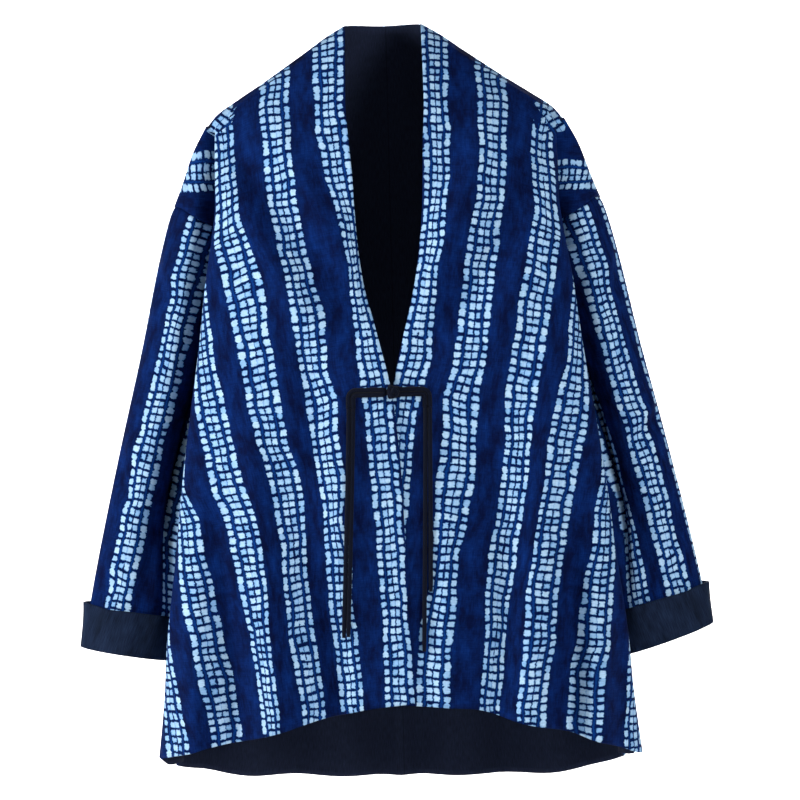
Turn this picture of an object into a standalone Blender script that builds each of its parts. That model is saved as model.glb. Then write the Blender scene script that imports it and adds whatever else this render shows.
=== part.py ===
"""Kimono-style jacket, filled out as it is worn: open front closed by one frog, drop sleeves, turned-up cuffs.

The origin is the middle of the neck opening at the height of the neck points, where the wearer's
neck and shoulders hold the jacket. +Z is up, the front faces -Y and the wearer's right is -X.
Each cloth piece is one outer face, given its thickness inwards, and stops just short of its seams.
"""

import math

import bpy
import numpy as np
from mathutils import kdtree

MM = 0.001

# Cloth and seams
CLOTH = 2.0 * MM  # print cloth and lining together
BACK_CLOTH = 1.2 * MM  # the back's print cloth alone, over its own lining
LINING = 1.0 * MM
LAYER_GAP = 0.35 * MM  # between layers that lie on each other
SEAM_INSET = 0.2 * MM  # how far a piece stops short of its seam line
WELD = 0.005 * MM  # points of the seam lines this near are the same point
MOST_REACH = 1.5  # how much further a mitred edge may reach inwards than the cloth is thick

# Heights below the neck points
SHOULDER_Z = -102 * MM  # the corner where the shoulder turns down
DROP_Z = -185 * MM  # the drop seam, on the outside of the arm
UNDERARM_Z = -335 * MM
SIDE_HEM_Z = -766 * MM
FRONT_HEM_Z = -700 * MM
BACK_HEM_Z = -805 * MM
RIGHT_HEM_POWER = 1.3  # how late each hem turns down, or the back's up, on its way to the side seam
LEFT_HEM_POWER = 1.9
BACK_HEM_POWER = 3.2
LIP_SHARE = 0.86  # of the way to the side seam, where a row is widest

# Neck and shoulders
NECK_HALF = 40.5 * MM
BACK_NECK_RISE = 6 * MM
NECK_RIDGE = 2.0  # how steeply the unseen shoulder ridge starts to rise inside the neck opening
ROUND_AT_NECK = 250 * MM  # the drop over which the shoulder rounds out to full depth
ROUND_AT_CORNER = 110 * MM
ROUND_POWER = 0.75
SECTION_POWER = 2.5  # squareness of the body's sections

# Cuffs: the sleeve end turned up, lining side out
CUFF_FOLD_Z = -660 * MM
CUFF_TILT = 12 * MM  # the inner side of the fold lies this much lower than its middle
CUFF_DEPTH = 50 * MM
CUFF_CLOTH = 2.2 * MM
CUFF_STAND_OFF = 2.0 * MM  # how far its free top edge stands off the sleeve
CUFF_OVERHANG = 1.0 * MM  # how far the fold reaches past the sleeve's end

# How far the body keeps clear of the sleeves, and of the cuffs lower down
SLEEVE_CLEAR = 4 * MM
CUFF_CLEAR = 9 * MM
CLEAR_TAPER = 25 * MM  # the distance from the armhole over which that comes in
CUFF_CLEAR_START = 25 * MM  # how far above the cuff's top the larger clearance begins
CUFF_CLEAR_RUN = 20 * MM

# How a row curls from its widest line in to the side seam or the armhole
CURL = 0.45  # of the way across, the length of its curve's handles
CURL_LEAVE = 15 * MM  # the longest handle at the widest line
CURL_TURN = 0.75  # how much it arrives along the arm, and how much straight inwards
CURL_INWARDS = 0.45

# Frog closure, of one bias tube of lining cloth
CORD = 4.4 * MM
STRAND_HALF = 2.4 * MM  # half the distance between two strands side by side
LOOP_HALF = 5.0 * MM  # half the distance between the loop's strands, round the knot
FROG_Z = -386 * MM
KNOT_X = 1 * MM
KNOT_HALF = (6.6 * MM, 5 * MM, 7.5 * MM)
KNOT_SEAT = 4.25 * MM  # the knot's back above the cloth, on the loop's tube
RIGHT_CORNER_X = -41.5 * MM
RIGHT_END_X = -9.6 * MM  # where the knot's own doubled strap turns back
LEFT_CORNER_X = 36 * MM
LEFT_END_X = -5 * MM  # the loop's far side, past the knot
STRAP_BEND = 3.2 * MM  # inner radius where a strap turns down
LOOP_RUN = 14 * MM  # how far from its end the loop is open
LOOP_FLARE = 6 * MM  # how far it takes to open
STRAP_TAIL_Z = -402 * MM  # where the straps end and the ties hang free
CORD_CLEAR = 0.4 * MM  # between cord and cloth
TIE_CLEAR = 2.0 * MM  # how much further off the cloth the free ties hang
TIE_BOW = 1.15  # how late a tie drifts sideways as it hangs
TIE_STEP = 9 * MM
STRAP_STEP = 2.2 * MM

# The folds that hang from the chest, as waves across each front and the back, deepest at the hem
FOLD_PITCH = 92 * MM
RIDGE_X = 119 * MM  # half width at the hem where the main ridge stands
RIDGE_DRIFT = 0.05  # how far the ridge moves outwards for each metre up
FRONT_FOLD = 12 * MM
BACK_FOLD = 9 * MM
FOLD_TOP_Z = -390 * MM
FLAT_EDGE = 25 * MM  # the strip along the front edge without folds
FOLD_FADE_IN = 35 * MM
FOLD_FADE_OUT = 45 * MM  # towards the widest line

# The right front's edge lies over the left one
LAP_LIFT = 5.0 * MM
LAP_WIDTH = 90 * MM
LAP_START = 60 * MM  # how far above the frog it begins to lift
LAP_OVER = 3 * MM  # the loop's tube is raised to the right front's height up to here

# Cloth colours, sRGB
PRINT_COLOUR = (0.12, 0.17, 0.43)
LINING_COLOUR = (0.07, 0.09, 0.15)
CUFF_COLOUR = (0.12, 0.15, 0.22)
TRIM_COLOUR = (0.05, 0.06, 0.11)
ROUGHNESS = 0.88

# Faces of each piece
LOWER_ROWS = 11
CAP_ROWS = 5  # above the armhole's corner
FRONT_COLUMNS = 17
BACK_COLUMNS = 13  # in each half
CAP_COLUMNS = 5
SLEEVE_ROWS = 14
CUFF_ROWS = 3
ROW_POINTS = 60

# A loose A-line jacket on a general figure: half widths and depths in mm, at each height.
# lip: the widest line of the front; side: the side seam, tucked in beside the arm;
# rear: the widest line of the back
TORSO_COLUMNS = ("z", "front", "lip_x", "lip_y", "side_x", "side_y", "rear_x", "rear_y", "back")
TORSO = (
    (-766, 153, 252, 24, 252, 6, 252, 26, 155),
    (-700, 150, 244, 34, 240, 20, 244, 50, 150),
    (-640, 146, 239, 44, 218, 42, 232, 85, 146),
    (-563, 141, 229, 50, 200, 46, 212, 100, 143),
    (-477, 135, 219, 54, 174, 46, 190, 104, 140),
    (-394, 131, 207, 56, 146, 46, 166, 106, 137),
    (-335, 130, 198, 56, 130, 45, 152, 108, 136),
    (-270, 127, 190, 56, 130, 45, 156, 106, 134),
    (-228, 125, 183, 55, 130, 45, 162, 100, 132),
    (-186, 125, 178, 52, 130, 45, 168, 92, 130),
    (-102, 125, 178, 50, 130, 45, 172, 85, 130),
)

# The arm that the sleeves hang on, in mm: its outer line, its width, how far back its middle is, its depth
ARM_COLUMNS = ("z", "outer", "width", "middle_y", "depth")
ARM = (
    (-102, 189, 126, 0, 0),
    (-129, 202, 132, 8, 72),
    (-163, 216, 137, 17, 118),
    (-200, 231, 138, 26, 143),
    (-246, 244, 136, 34, 148),
    (-335, 264.5, 134, 45, 142),
    (-436, 289.5, 122, 50, 124),
    (-563, 318.5, 112, 50, 104),
    (-640, 334, 106, 50, 96),
    (-700, 347, 104, 50, 94),
)

# The crease between chest and arm, above the armhole: how far round the arm it lies, in degrees
CREASE = ((-102, 160), (-112, 132), (-130, 110), (-160, 99), (-190, 94), (-237, 90.5))
ARMHOLE_TURNS = (0, 15, 30, 45, 60, 75, 90.5)  # where the rows of front and back meet the armhole

# The two front edges, in mm from the middle, negative past it
EDGE_COLUMNS = ("z", "right", "left")
EDGE = (
    (0, 40.5, 40.5),
    (-86, 40.5, 40.5),
    (-128, 38.5, 39),
    (-170, 35, 37.5),
    (-232, 31, 32.5),
    (-273, 26, 26.5),
    (-313, 16.5, 17.5),
    (-334, 11.5, 12),
    (-377, 1.5, 2),
    (-400, -2, -4),
    (-470, -8, -12),
    (-600, -12, -26),
    (-700, -16, -40),
)

# The four free tie ends, in mm: where each starts and ends across the front, and the height of its end
TIES = (
    ("tie_right_outer", -43.9, -54.0, -632),
    ("tie_right_inner", -39.1, -49.2, -631),
    ("tie_left_inner", 33.6, 26.5, -648),
    ("tie_left_outer", 38.4, 34.9, -588),
)


def smooth(xs, ys, at):
    """A curve through (xs, ys) that doesn't overshoot, read at the points at."""
    xs, ys = np.asarray(xs, float), np.asarray(ys, float)
    if xs[0] > xs[-1]:
        xs, ys = xs[::-1], ys[::-1]
    step = np.diff(xs)
    slope = np.diff(ys) / step
    tangent = np.concatenate([[slope[0]], np.zeros(len(xs) - 2), [slope[-1]]])
    same = slope[1:] * slope[:-1] > 0
    tangent[1:-1][same] = 2 / (1 / slope[1:][same] + 1 / slope[:-1][same])
    at = np.clip(at, xs[0], xs[-1])
    k = np.clip(np.searchsorted(xs, at, side="right") - 1, 0, len(step) - 1)
    h = step[k]
    t = (at - xs[k]) / h
    from_here = ys[k] * (1 + 2 * t) * (1 - t) ** 2 + tangent[k] * h * t * (1 - t) ** 2
    return from_here + ys[k + 1] * t * t * (3 - 2 * t) + tangent[k + 1] * h * t * t * (t - 1)


def read(table, columns, name, z):
    """One column of a table in mm at the height z, in metres."""
    rows = np.array(table, float)
    return smooth(rows[:, 0] * MM, rows[:, columns.index(name)] * MM, z)


def torso(name, z):
    return read(TORSO, TORSO_COLUMNS, name, z)


def arm(name, z):
    return read(ARM, ARM_COLUMNS, name, z)


def ease(share):
    share = np.clip(share, 0, 1)
    return share * share * (3 - 2 * share)


def arm_point(turn, z, facing):
    """A point on the arm: turn 0 is its inner side and 180 its outer one; facing is -1 in front, 1 behind."""
    half = arm("width", z) / 2
    x = arm("outer", z) - half - half * np.cos(np.radians(turn))
    y = arm("middle_y", z) + facing * arm("depth", z) / 2 * np.sin(np.radians(turn))
    return np.stack(np.broadcast_arrays(x, y, z), axis=-1)


def armhole_z(turn):
    """Height of the armhole seam, from the underarm round to the drop of the shoulder."""
    share = (1 + np.cos(np.radians(turn))) / 2
    return DROP_Z + (UNDERARM_Z - DROP_Z) * share**1.5


def crease_turn(z):
    return smooth([row[0] * MM for row in CREASE], [row[1] for row in CREASE], z)


def shoulder_line(x):
    """Height of the shoulder line at the half width x. It runs on upwards, unseen, inside the neck."""
    corner_x = arm_point(CREASE[0][1], SHOULDER_Z, 1)[0]
    outside = SHOULDER_Z * (x - NECK_HALF) / (corner_x - NECK_HALF)
    return np.where(x > NECK_HALF, outside, NECK_RIDGE * (NECK_HALF**2 - x**2) / (2 * NECK_HALF))


def rounding(x, z):
    """The share of its full depth that the body has: none on the shoulder line, all of it lower down."""
    outwards = np.clip((x - NECK_HALF) / (torso("lip_x", SHOULDER_Z) - NECK_HALF), 0, 1)
    drop = ROUND_AT_NECK + (ROUND_AT_CORNER - ROUND_AT_NECK) * outwards
    below = np.clip((shoulder_line(x) - z) / drop, 0, 1)
    return (1 - (1 - below) ** 2) ** ROUND_POWER


def hanging_fold(x, z, is_back):
    """How far the folds bring the cloth outwards."""
    grown = ease((FOLD_TOP_Z - z) / (FOLD_TOP_Z - SIDE_HEM_Z))
    ridge = RIDGE_X + RIDGE_DRIFT * (z - SIDE_HEM_Z)
    wave = np.cos(2 * math.pi * (x - ridge) / FOLD_PITCH)
    inner = 1 if is_back else ease((x - FLAT_EDGE) / FOLD_FADE_IN)
    outer = ease((torso("lip_x", z) - x) / FOLD_FADE_OUT)
    return (BACK_FOLD if is_back else FRONT_FOLD) * grown * wave * inner * outer


def panel_y(x, z, is_back):
    """Depth of the front's or back's outer face at a place seen from the front."""
    full, lip_x, lip_y = ("back", "rear_x", "rear_y") if is_back else ("front", "lip_x", "lip_y")
    x = np.abs(x)
    share = np.clip(x / torso(lip_x, z), 0, 1)
    bulge = (1 - share**SECTION_POWER) ** (1 / SECTION_POWER)
    deep = torso(lip_y, z) + (torso(full, z) - torso(lip_y, z)) * bulge
    return (1 if is_back else -1) * (deep * rounding(x, z) + hanging_fold(x, z, is_back))


def lap(x, z):
    """How far the right front is raised where it lies over the left one, x being its own half width."""
    across = ease((LAP_WIDTH - x) / (LAP_WIDTH / 2))
    return LAP_LIFT * across * ease((FROG_Z + LAP_START - z) / LAP_START)


def hem_z(share, is_back, side):
    """Height of the hem at a share of the way from the middle to the side seam."""
    share = np.clip(share, 0, 1)
    if is_back:
        return BACK_HEM_Z + (SIDE_HEM_Z - BACK_HEM_Z) * share**BACK_HEM_POWER
    power = RIGHT_HEM_POWER if side < 0 else LEFT_HEM_POWER
    return FRONT_HEM_Z + (SIDE_HEM_Z - FRONT_HEM_Z) * share**power


def clear_of_arm(points, end_is_seam):
    """Points of a row moved out of the arm's way, less and less towards a seam on the arm itself."""
    x, y, z = points.T
    cuff = ease((CUFF_FOLD_Z + CUFF_DEPTH + CUFF_CLEAR_START - z) / CUFF_CLEAR_RUN)
    clear = SLEEVE_CLEAR + (CUFF_CLEAR - SLEEVE_CLEAR) * cuff
    if end_is_seam:
        clear = clear * np.clip(np.linalg.norm(points - points[-1], axis=1) / CLEAR_TAPER, 0, 1)
    wide, deep = arm("width", z) / 2 + clear, arm("depth", z) / 2 + clear
    middle_x, middle_y = arm("outer", z) - arm("width", z) / 2, arm("middle_y", z)
    away = np.sqrt(((x - middle_x) / wide) ** 2 + ((y - middle_y) / deep) ** 2)
    push = np.where(away < 1, 1 / np.maximum(away, 0.2), 1)
    return np.stack([middle_x + (x - middle_x) * push, middle_y + (y - middle_y) * push, z], axis=1)


def resample(line, count):
    """count + 1 points spread evenly along a line."""
    length = np.concatenate([[0], np.cumsum(np.linalg.norm(np.diff(line, axis=0), axis=1))])
    at = np.linspace(0, length[-1], count + 1)
    return np.stack([np.interp(at, length, line[:, k]) for k in range(3)], axis=1)


def row_ends():
    """For each row from hem to shoulder: its level at the middle and at the side, and its turn round the arm.

    A level is -1 at the hem, 0 at the underarm and 1 on the shoulder line.
    """
    rows = [(k / LOWER_ROWS, k / LOWER_ROWS, None) for k in range(-LOWER_ROWS, 0)]
    rise = SHOULDER_Z - UNDERARM_Z
    ends = [(float(armhole_z(turn)), turn) for turn in ARMHOLE_TURNS]
    corner_z = ends[-1][0]
    for k in range(1, CAP_ROWS + 1):
        z = corner_z + (SHOULDER_Z - corner_z) * k / CAP_ROWS
        ends.append((z, float(crease_turn(z))))
    for k, (z, turn) in enumerate(ends):
        rows.append((k / (len(ends) - 1), (z - UNDERARM_Z) / rise, turn))
    return rows


def row_across(middle_level, side_level, is_back, side):
    """The part of a row from the middle or front edge out to its widest point."""
    lip_x = "rear_x" if is_back else "lip_x"
    inner = 0.0 if is_back else NECK_HALF
    z = np.full(ROW_POINTS, UNDERARM_Z)
    for _ in range(6):
        edge = 0.0 if is_back else read(EDGE, EDGE_COLUMNS, "left" if side > 0 else "right", z[0])
        widest = torso(lip_x, z[-1])
        x = widest * np.sin(np.linspace(math.asin(edge / widest), math.pi / 2, ROW_POINTS))
        across = (x - edge) / (widest - edge)
        level = middle_level + (side_level - middle_level) * across
        if side_level < 0:
            z = UNDERARM_Z - level * (hem_z(LIP_SHARE * across, is_back, side) - UNDERARM_Z)
            continue
        top_x = inner + across * (torso(lip_x, SHOULDER_Z) - inner)
        top = shoulder_line(top_x)
        if is_back:
            top = np.where(top_x < NECK_HALF, BACK_NECK_RISE * (1 - top_x / NECK_HALF), top)
        z = UNDERARM_Z + level * (top - UNDERARM_Z)
    y = panel_y(x, z, is_back)
    if side < 0 and not is_back:
        y = y - lap(x, z)
    return np.stack([x, y, z], axis=1)


def row_of(ends, is_back, side, count):
    """One row of a panel, from the middle or front edge to its side seam, armhole or crease, where x > 0."""
    middle_level, side_level, turn = ends
    facing = 1 if is_back else -1
    drop = UNDERARM_Z - SIDE_HEM_Z if side_level < 0 else SHOULDER_Z - UNDERARM_Z
    side_z = UNDERARM_Z + side_level * drop
    line = row_across(middle_level, side_level, is_back, side)
    if turn is None:
        end = np.array([torso("side_x", side_z), torso("side_y", side_z), side_z])
        inwards = np.array([0.0, -facing, 0.0])
    else:
        end = arm_point(turn, side_z, facing)
        inwards = arm_point(turn - 2, side_z, facing) - end
        inwards = CURL_TURN * inwards / np.linalg.norm(inwards) + np.array([0, -CURL_INWARDS * facing, 0])
        inwards = inwards / np.linalg.norm(inwards)
    lip = line[-1]
    far = np.linalg.norm(end[:2] - lip[:2])
    handle = far * CURL * (1 if turn is None else min(1, rounding(lip[0], lip[2])))
    leave = lip + np.array([0, -facing * min(handle, CURL_LEAVE), 0])
    arrive = end - handle * inwards
    t = np.linspace(0, 1, 30)[1:, None]
    curl = (1 - t) ** 3 * lip + 3 * (1 - t) ** 2 * t * leave + 3 * (1 - t) * t * t * arrive + t**3 * end
    points = np.concatenate([line, curl])
    if turn is None or turn < ARMHOLE_TURNS[-1]:
        points = clear_of_arm(points, turn is not None)
    return resample(points, count)


def cap_of(heights, facing):
    """The part of a panel that goes on over the arm, from the crease out to the shoulder line."""
    corner_turn = ARMHOLE_TURNS[-1]
    share = np.linspace(0, 1, CAP_COLUMNS + 1)
    seam_z = armhole_z(corner_turn + (180 - corner_turn) * share)
    rows = []
    for z in heights:
        turn = crease_turn(z) + (180 - crease_turn(z)) * share
        down = (z - SHOULDER_Z) / (armhole_z(corner_turn) - SHOULDER_Z)
        rows.append(arm_point(turn, SHOULDER_Z + (seam_z - SHOULDER_Z) * down, facing))
    return np.array(rows)


def arm_columns():
    """Turn and facing of the sleeve's columns, once round from the underarm."""
    corner_turn = ARMHOLE_TURNS[-1]
    outer = [corner_turn + (180 - corner_turn) * k / CAP_COLUMNS for k in range(1, CAP_COLUMNS + 1)]
    half = list(ARMHOLE_TURNS) + outer
    return [(turn, -1) for turn in half] + [(turn, 1) for turn in half[-2:0:-1]]


def fold_z(turn):
    """Height of the fold at the sleeve's end."""
    return CUFF_FOLD_Z - CUFF_TILT * math.cos(math.radians(turn))


def cuff_top(turn):
    """Height of the cuff's free top edge."""
    return fold_z(turn) + CUFF_DEPTH


def sleeve_grid(top_of, extra, count):
    """Rows down the arm from top_of(turn) to the fold and extra further, each once round."""
    grid = []
    for share in np.linspace(0, 1, count + 1):
        row = []
        for turn, facing in arm_columns():
            height = top_of(turn) + (fold_z(turn) - extra - top_of(turn)) * share
            row.append(arm_point(turn, height, facing))
        grid.append(row)
    return np.array(grid)


def mirror(grid, side):
    return grid * np.array([side, 1, 1])


def half_panel(is_back, side):
    """The grid of one half of the body and that of its cap over the arm, which meet on the crease."""
    columns = BACK_COLUMNS if is_back else FRONT_COLUMNS
    grid = np.array([row_of(ends, is_back, side, columns) for ends in row_ends()])
    corner = LOWER_ROWS + len(ARMHOLE_TURNS) - 1
    return grid, cap_of(grid[corner:, -1, 2], 1 if is_back else -1)


def cloth_faces(grids):
    """Points of the grids one after another, and their faces. A grid's faces look along its columns
    crossed with up its rows, or the other way where flip is set."""
    points, faces = [], []
    for grid, flip, closed in grids:
        rows, columns = grid.shape[:2]
        start = sum(len(part) for part in points)
        points.append(grid.reshape(-1, 3))
        flat = points[-1]
        for i in range(rows - 1):
            for j in range(columns if closed else columns - 1):
                k = (j + 1) % columns
                a, b, c, d = (i * columns + j, i * columns + k, (i + 1) * columns + k, (i + 1) * columns + j)
                if np.linalg.norm(flat[c] - flat[a]) < np.linalg.norm(flat[d] - flat[b]):
                    halves = ((a, b, c), (a, c, d))
                else:
                    halves = ((a, b, d), (b, c, d))
                for half in halves:
                    faces.append([start + corner for corner in (half[::-1] if flip else half)])
    return np.concatenate(points), faces


def face_normal(points, face):
    a, b, c = points[face]
    return np.cross(b - a, c - a) / 2


def shells(pieces):
    """Each piece's welded outer points and faces, and for each point the way inwards and the seam's inset.

    Where pieces meet, they share the way inwards, so that their edges are mitred.
    """
    parts = {name: cloth_faces(grids) for name, grids in pieces.items()}
    everything = np.concatenate([points for points, _ in parts.values()])
    tree = kdtree.KDTree(len(everything))
    for k, point in enumerate(everything):
        tree.insert(point, k)
    tree.balance()
    same = np.array([min(found[1] for found in tree.find_range(p, WELD)) for p in everything])
    shared = np.zeros_like(everything)
    users = [set() for _ in everything]
    welded, start = {}, 0
    for name, (points, faces) in parts.items():
        ids = same[start : start + len(points)]
        start += len(points)
        kept = []
        for face in faces:
            corners = [int(ids[c]) for c in face]
            if len(set(corners)) < 3:
                continue
            kept.append(corners)
            normal = face_normal(everything, corners)
            for corner in corners:
                shared[corner] += normal
                users[corner].add(name)
        welded[name] = kept
    made = {}
    for name, faces in welded.items():
        used = sorted({corner for face in faces for corner in face})
        local = {corner: k for k, corner in enumerate(used)}
        own = np.zeros((len(used), 3))
        inner = np.zeros((len(used), 3))
        edges = set()
        for face in faces:
            normal = face_normal(everything, face)
            middle = everything[face].mean(axis=0)
            for k, corner in enumerate(face):
                own[local[corner]] += normal
                inner[local[corner]] += middle - everything[corner]
                edges.add((corner, face[(k + 1) % 3]))
        rim = sorted(edge for edge in edges if (edge[1], edge[0]) not in edges)
        on_rim = {corner for edge in rim for corner in edge}
        points = everything[used].copy()
        out = shared[used].copy()
        own /= np.linalg.norm(own, axis=1, keepdims=True)
        inset = np.zeros_like(points)
        for corner in on_rim:
            k = local[corner]
            on_shoulder = abs(points[k, 1]) < WELD
            if on_shoulder:
                out[k, 1] = 0
            if on_shoulder or len(users[corner]) > 1:
                across = out[k] / np.linalg.norm(out[k])
                step = inner[k] - np.dot(inner[k], across) * across
                inset[k] = SEAM_INSET * step / np.linalg.norm(step)
        out /= np.linalg.norm(out, axis=1, keepdims=True)
        reach = 1 / np.clip(np.sum(out * own, axis=1), 1 / MOST_REACH, 1)
        made[name] = {
            "points": points + inset,
            "inwards": -out * reach[:, None],
            "faces": [[local[corner] for corner in face] for face in faces],
            "rim": [(local[a], local[b]) for a, b in rim],
        }
    return made


def cloth_material(name, colour):
    """A Principled material of one sRGB colour, as rough as woven cotton."""
    made = bpy.data.materials.new(name)
    made.use_nodes = True
    linear = [c / 12.92 if c <= 0.04045 else ((c + 0.055) / 1.055) ** 2.4 for c in colour]
    shader = made.node_tree.nodes["Principled BSDF"]
    shader.inputs["Base Color"].default_value = (*linear, 1)
    shader.inputs["Roughness"].default_value = ROUGHNESS
    shader.inputs["Metallic"].default_value = 0.0
    made.diffuse_color = (*linear, 1)
    return made


def add_piece(name, shell, near, far, colour):
    """A closed cloth wall between two depths under a shell, either of which may be given point by point."""
    points, inwards = shell["points"], shell["inwards"]
    count = len(points)
    outer = points + inwards * np.reshape(near, (-1, 1))
    inner = points + inwards * np.reshape(far, (-1, 1))
    faces = []
    for face in shell["faces"]:
        faces.append(face)
        faces.append([count + corner for corner in reversed(face)])
    faces += [[b, a, count + a, count + b] for a, b in shell["rim"]]
    mesh = bpy.data.meshes.new(name)
    mesh.from_pydata([tuple(p) for p in np.concatenate([outer, inner])], [], faces)
    mesh.materials.append(cloth_material(name, colour))
    piece = bpy.data.objects.new(name, mesh)
    bpy.context.scene.collection.objects.link(piece)


def add_tube(name, points):
    """A cord of the frog's tube along a line of points."""
    curve = bpy.data.curves.new(name, "CURVE")
    curve.dimensions = "3D"
    curve.bevel_depth = CORD / 2
    curve.bevel_resolution = 3
    curve.use_fill_caps = True
    spline = curve.splines.new("POLY")
    spline.points.add(len(points) - 1)
    for point, place in zip(spline.points, points):
        point.co = (*place, 1)
    curve.materials.append(cloth_material(name, TRIM_COLOUR))
    tube = bpy.data.objects.new(name, curve)
    bpy.context.scene.collection.objects.link(tube)


def on_front(x, z, side, lift):
    """A point lift in front of the outer face of the front on one side."""
    y = panel_y(x, z, False) - (lap(x * side, z) if side < 0 else 0)
    return np.array([x, y - lift, z])


def along(corners, step):
    """Points a step apart along a line through (x, z) corners."""
    corners = np.array(corners, float)
    length = np.concatenate([[0], np.cumsum(np.linalg.norm(np.diff(corners, axis=0), axis=1))])
    at = np.linspace(0, length[-1], max(2, round(length[-1] / step)) + 1)
    return np.stack([np.interp(at, length, corners[:, k]) for k in range(2)], axis=1)


def arc(middle_x, middle_z, radius, start, end, count):
    """(x, z) points round an arc, angles in degrees from +X towards +Z."""
    turns = np.radians(np.linspace(start, end, count + 1))
    return [(middle_x + radius * math.cos(a), middle_z + radius * math.sin(a)) for a in turns]


def strap_route(corner_x, side, end_x, half_at_end):
    """(x, z) of a doubled tube: up one strand, round its closed end at the middle, back and down the other.

    The two strands run side by side from the ties to the corner and spread to half_at_end near the end.
    """
    wide_bend = STRAP_BEND + 2 * STRAND_HALF
    outer_x, inner_x = corner_x + side * STRAND_HALF, corner_x - side * STRAND_HALF
    high, low = FROG_Z + STRAND_HALF, FROG_Z - STRAND_HALF
    sideways = 0 if side > 0 else 180
    over = arc(outer_x - side * wide_bend, high - wide_bend, wide_bend, sideways, 90, 5)
    under = arc(inner_x - side * STRAP_BEND, low - STRAP_BEND, STRAP_BEND, 90, sideways, 4)
    turn_back = arc(end_x + side * half_at_end, FROG_Z, half_at_end, 90, 270 if side > 0 else -90, 8)
    top, foot = [], []
    if half_at_end > STRAND_HALF:
        open_x = end_x + side * LOOP_RUN
        shut_x = open_x + side * LOOP_FLARE
        top = [(shut_x, high), (open_x, FROG_Z + half_at_end)]
        foot = [(open_x, FROG_Z - half_at_end), (shut_x, low)]
    return [(outer_x, STRAP_TAIL_Z)] + over + top + turn_back + foot + under + [(inner_x, STRAP_TAIL_Z)]


def make_frog():
    straps = (
        ("frog_strap_right", RIGHT_CORNER_X, -1, RIGHT_END_X, STRAND_HALF),
        ("frog_loop_left", LEFT_CORNER_X, 1, LEFT_END_X, LOOP_HALF),
    )
    lift = CORD / 2 + CORD_CLEAR
    for name, corner_x, side, end_x, half in straps:
        route = along(strap_route(corner_x, side, end_x, half), STRAP_STEP)
        add_tube(name, [on_front(x, z, -1 if x < LAP_OVER else side, lift) for x, z in route])
    for name, start_x, end_x, end_z in TIES:
        side = 1 if start_x > 0 else -1
        top = STRAP_TAIL_Z - CORD_CLEAR
        route = []
        for share in np.linspace(0, 1, round((top - end_z * MM) / TIE_STEP) + 1):
            x = (start_x + (end_x - start_x) * share**TIE_BOW) * MM
            hanging = lift + TIE_CLEAR * ease(4 * share)
            route.append(on_front(x, top + (end_z * MM - top) * share, side, hanging))
        add_tube(name, route)
    bpy.ops.mesh.primitive_uv_sphere_add(segments=20, ring_count=12)
    knot = bpy.context.object
    knot.name = knot.data.name = "frog_knot"
    knot.scale = KNOT_HALF
    knot.location = on_front(KNOT_X, FROG_Z, -1, KNOT_SEAT + KNOT_HALF[1])
    knot.data.materials.append(cloth_material("frog_knot", TRIM_COLOUR))


def main():
    for old in list(bpy.data.objects):
        bpy.data.objects.remove(old)
    back, cap = half_panel(True, 1)
    whole = np.concatenate([mirror(back[:, :0:-1], -1), back], axis=1)
    sleeve = sleeve_grid(armhole_z, 0, SLEEVE_ROWS)
    pieces = {"back": [(whole, True, False), (cap, True, False), (mirror(cap, -1), False, False)]}
    for name, side in (("right", -1), ("left", 1)):
        front, cap = half_panel(False, side)
        flip = side < 0
        pieces[f"front_{name}"] = [(mirror(front, side), flip, False), (mirror(cap, side), flip, False)]
        pieces[f"sleeve_{name}"] = [(mirror(sleeve, side), not flip, True)]
    made = shells(pieces)
    add_piece("back", made["back"], 0, BACK_CLOTH, PRINT_COLOUR)
    lining_at = BACK_CLOTH + LAYER_GAP
    add_piece("back_lining", made["back"], lining_at, lining_at + LINING, LINING_COLOUR)
    for name in ("front_right", "front_left", "sleeve_right", "sleeve_left"):
        add_piece(name, made[name], 0, CLOTH, PRINT_COLOUR)
    cuff = sleeve_grid(cuff_top, CUFF_OVERHANG, CUFF_ROWS)
    stand_off = np.repeat(np.linspace(CUFF_STAND_OFF, 0, CUFF_ROWS + 1), cuff.shape[1])
    for name, side in (("cuff_right", -1), ("cuff_left", 1)):
        shell = shells({name: [(mirror(cuff, side), side > 0, True)]})[name]
        near = -(LAYER_GAP + CUFF_CLOTH + stand_off)
        add_piece(name, shell, near, near + CUFF_CLOTH, CUFF_COLOUR)
    make_frog()


main()
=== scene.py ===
"""A kimono jacket of indigo resist-dyed cotton, filled out as it is worn and closed by one frog.

The front faces -Y, the wearer's right is -X, and the origin is the middle of the neck opening.
Sizes are in mm in the tables and in metres in Blender.
"""

import math

import bmesh
import bpy
import numpy as np
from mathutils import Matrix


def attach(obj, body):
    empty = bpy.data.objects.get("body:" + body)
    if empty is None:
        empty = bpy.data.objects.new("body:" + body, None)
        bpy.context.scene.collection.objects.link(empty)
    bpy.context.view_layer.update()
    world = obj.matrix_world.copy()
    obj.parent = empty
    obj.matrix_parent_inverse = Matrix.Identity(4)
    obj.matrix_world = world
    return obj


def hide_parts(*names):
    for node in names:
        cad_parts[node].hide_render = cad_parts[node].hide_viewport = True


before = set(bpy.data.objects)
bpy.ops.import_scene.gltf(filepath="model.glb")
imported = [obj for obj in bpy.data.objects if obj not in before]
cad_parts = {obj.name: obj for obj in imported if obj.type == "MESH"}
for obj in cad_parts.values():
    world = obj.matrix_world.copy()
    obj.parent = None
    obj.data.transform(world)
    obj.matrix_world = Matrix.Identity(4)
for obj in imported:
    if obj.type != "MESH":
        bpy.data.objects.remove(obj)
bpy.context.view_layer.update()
MM = 0.001
SIDES = (("right", -1), ("left", 1))  # the wearer's sides, and the sign of x there

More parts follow.
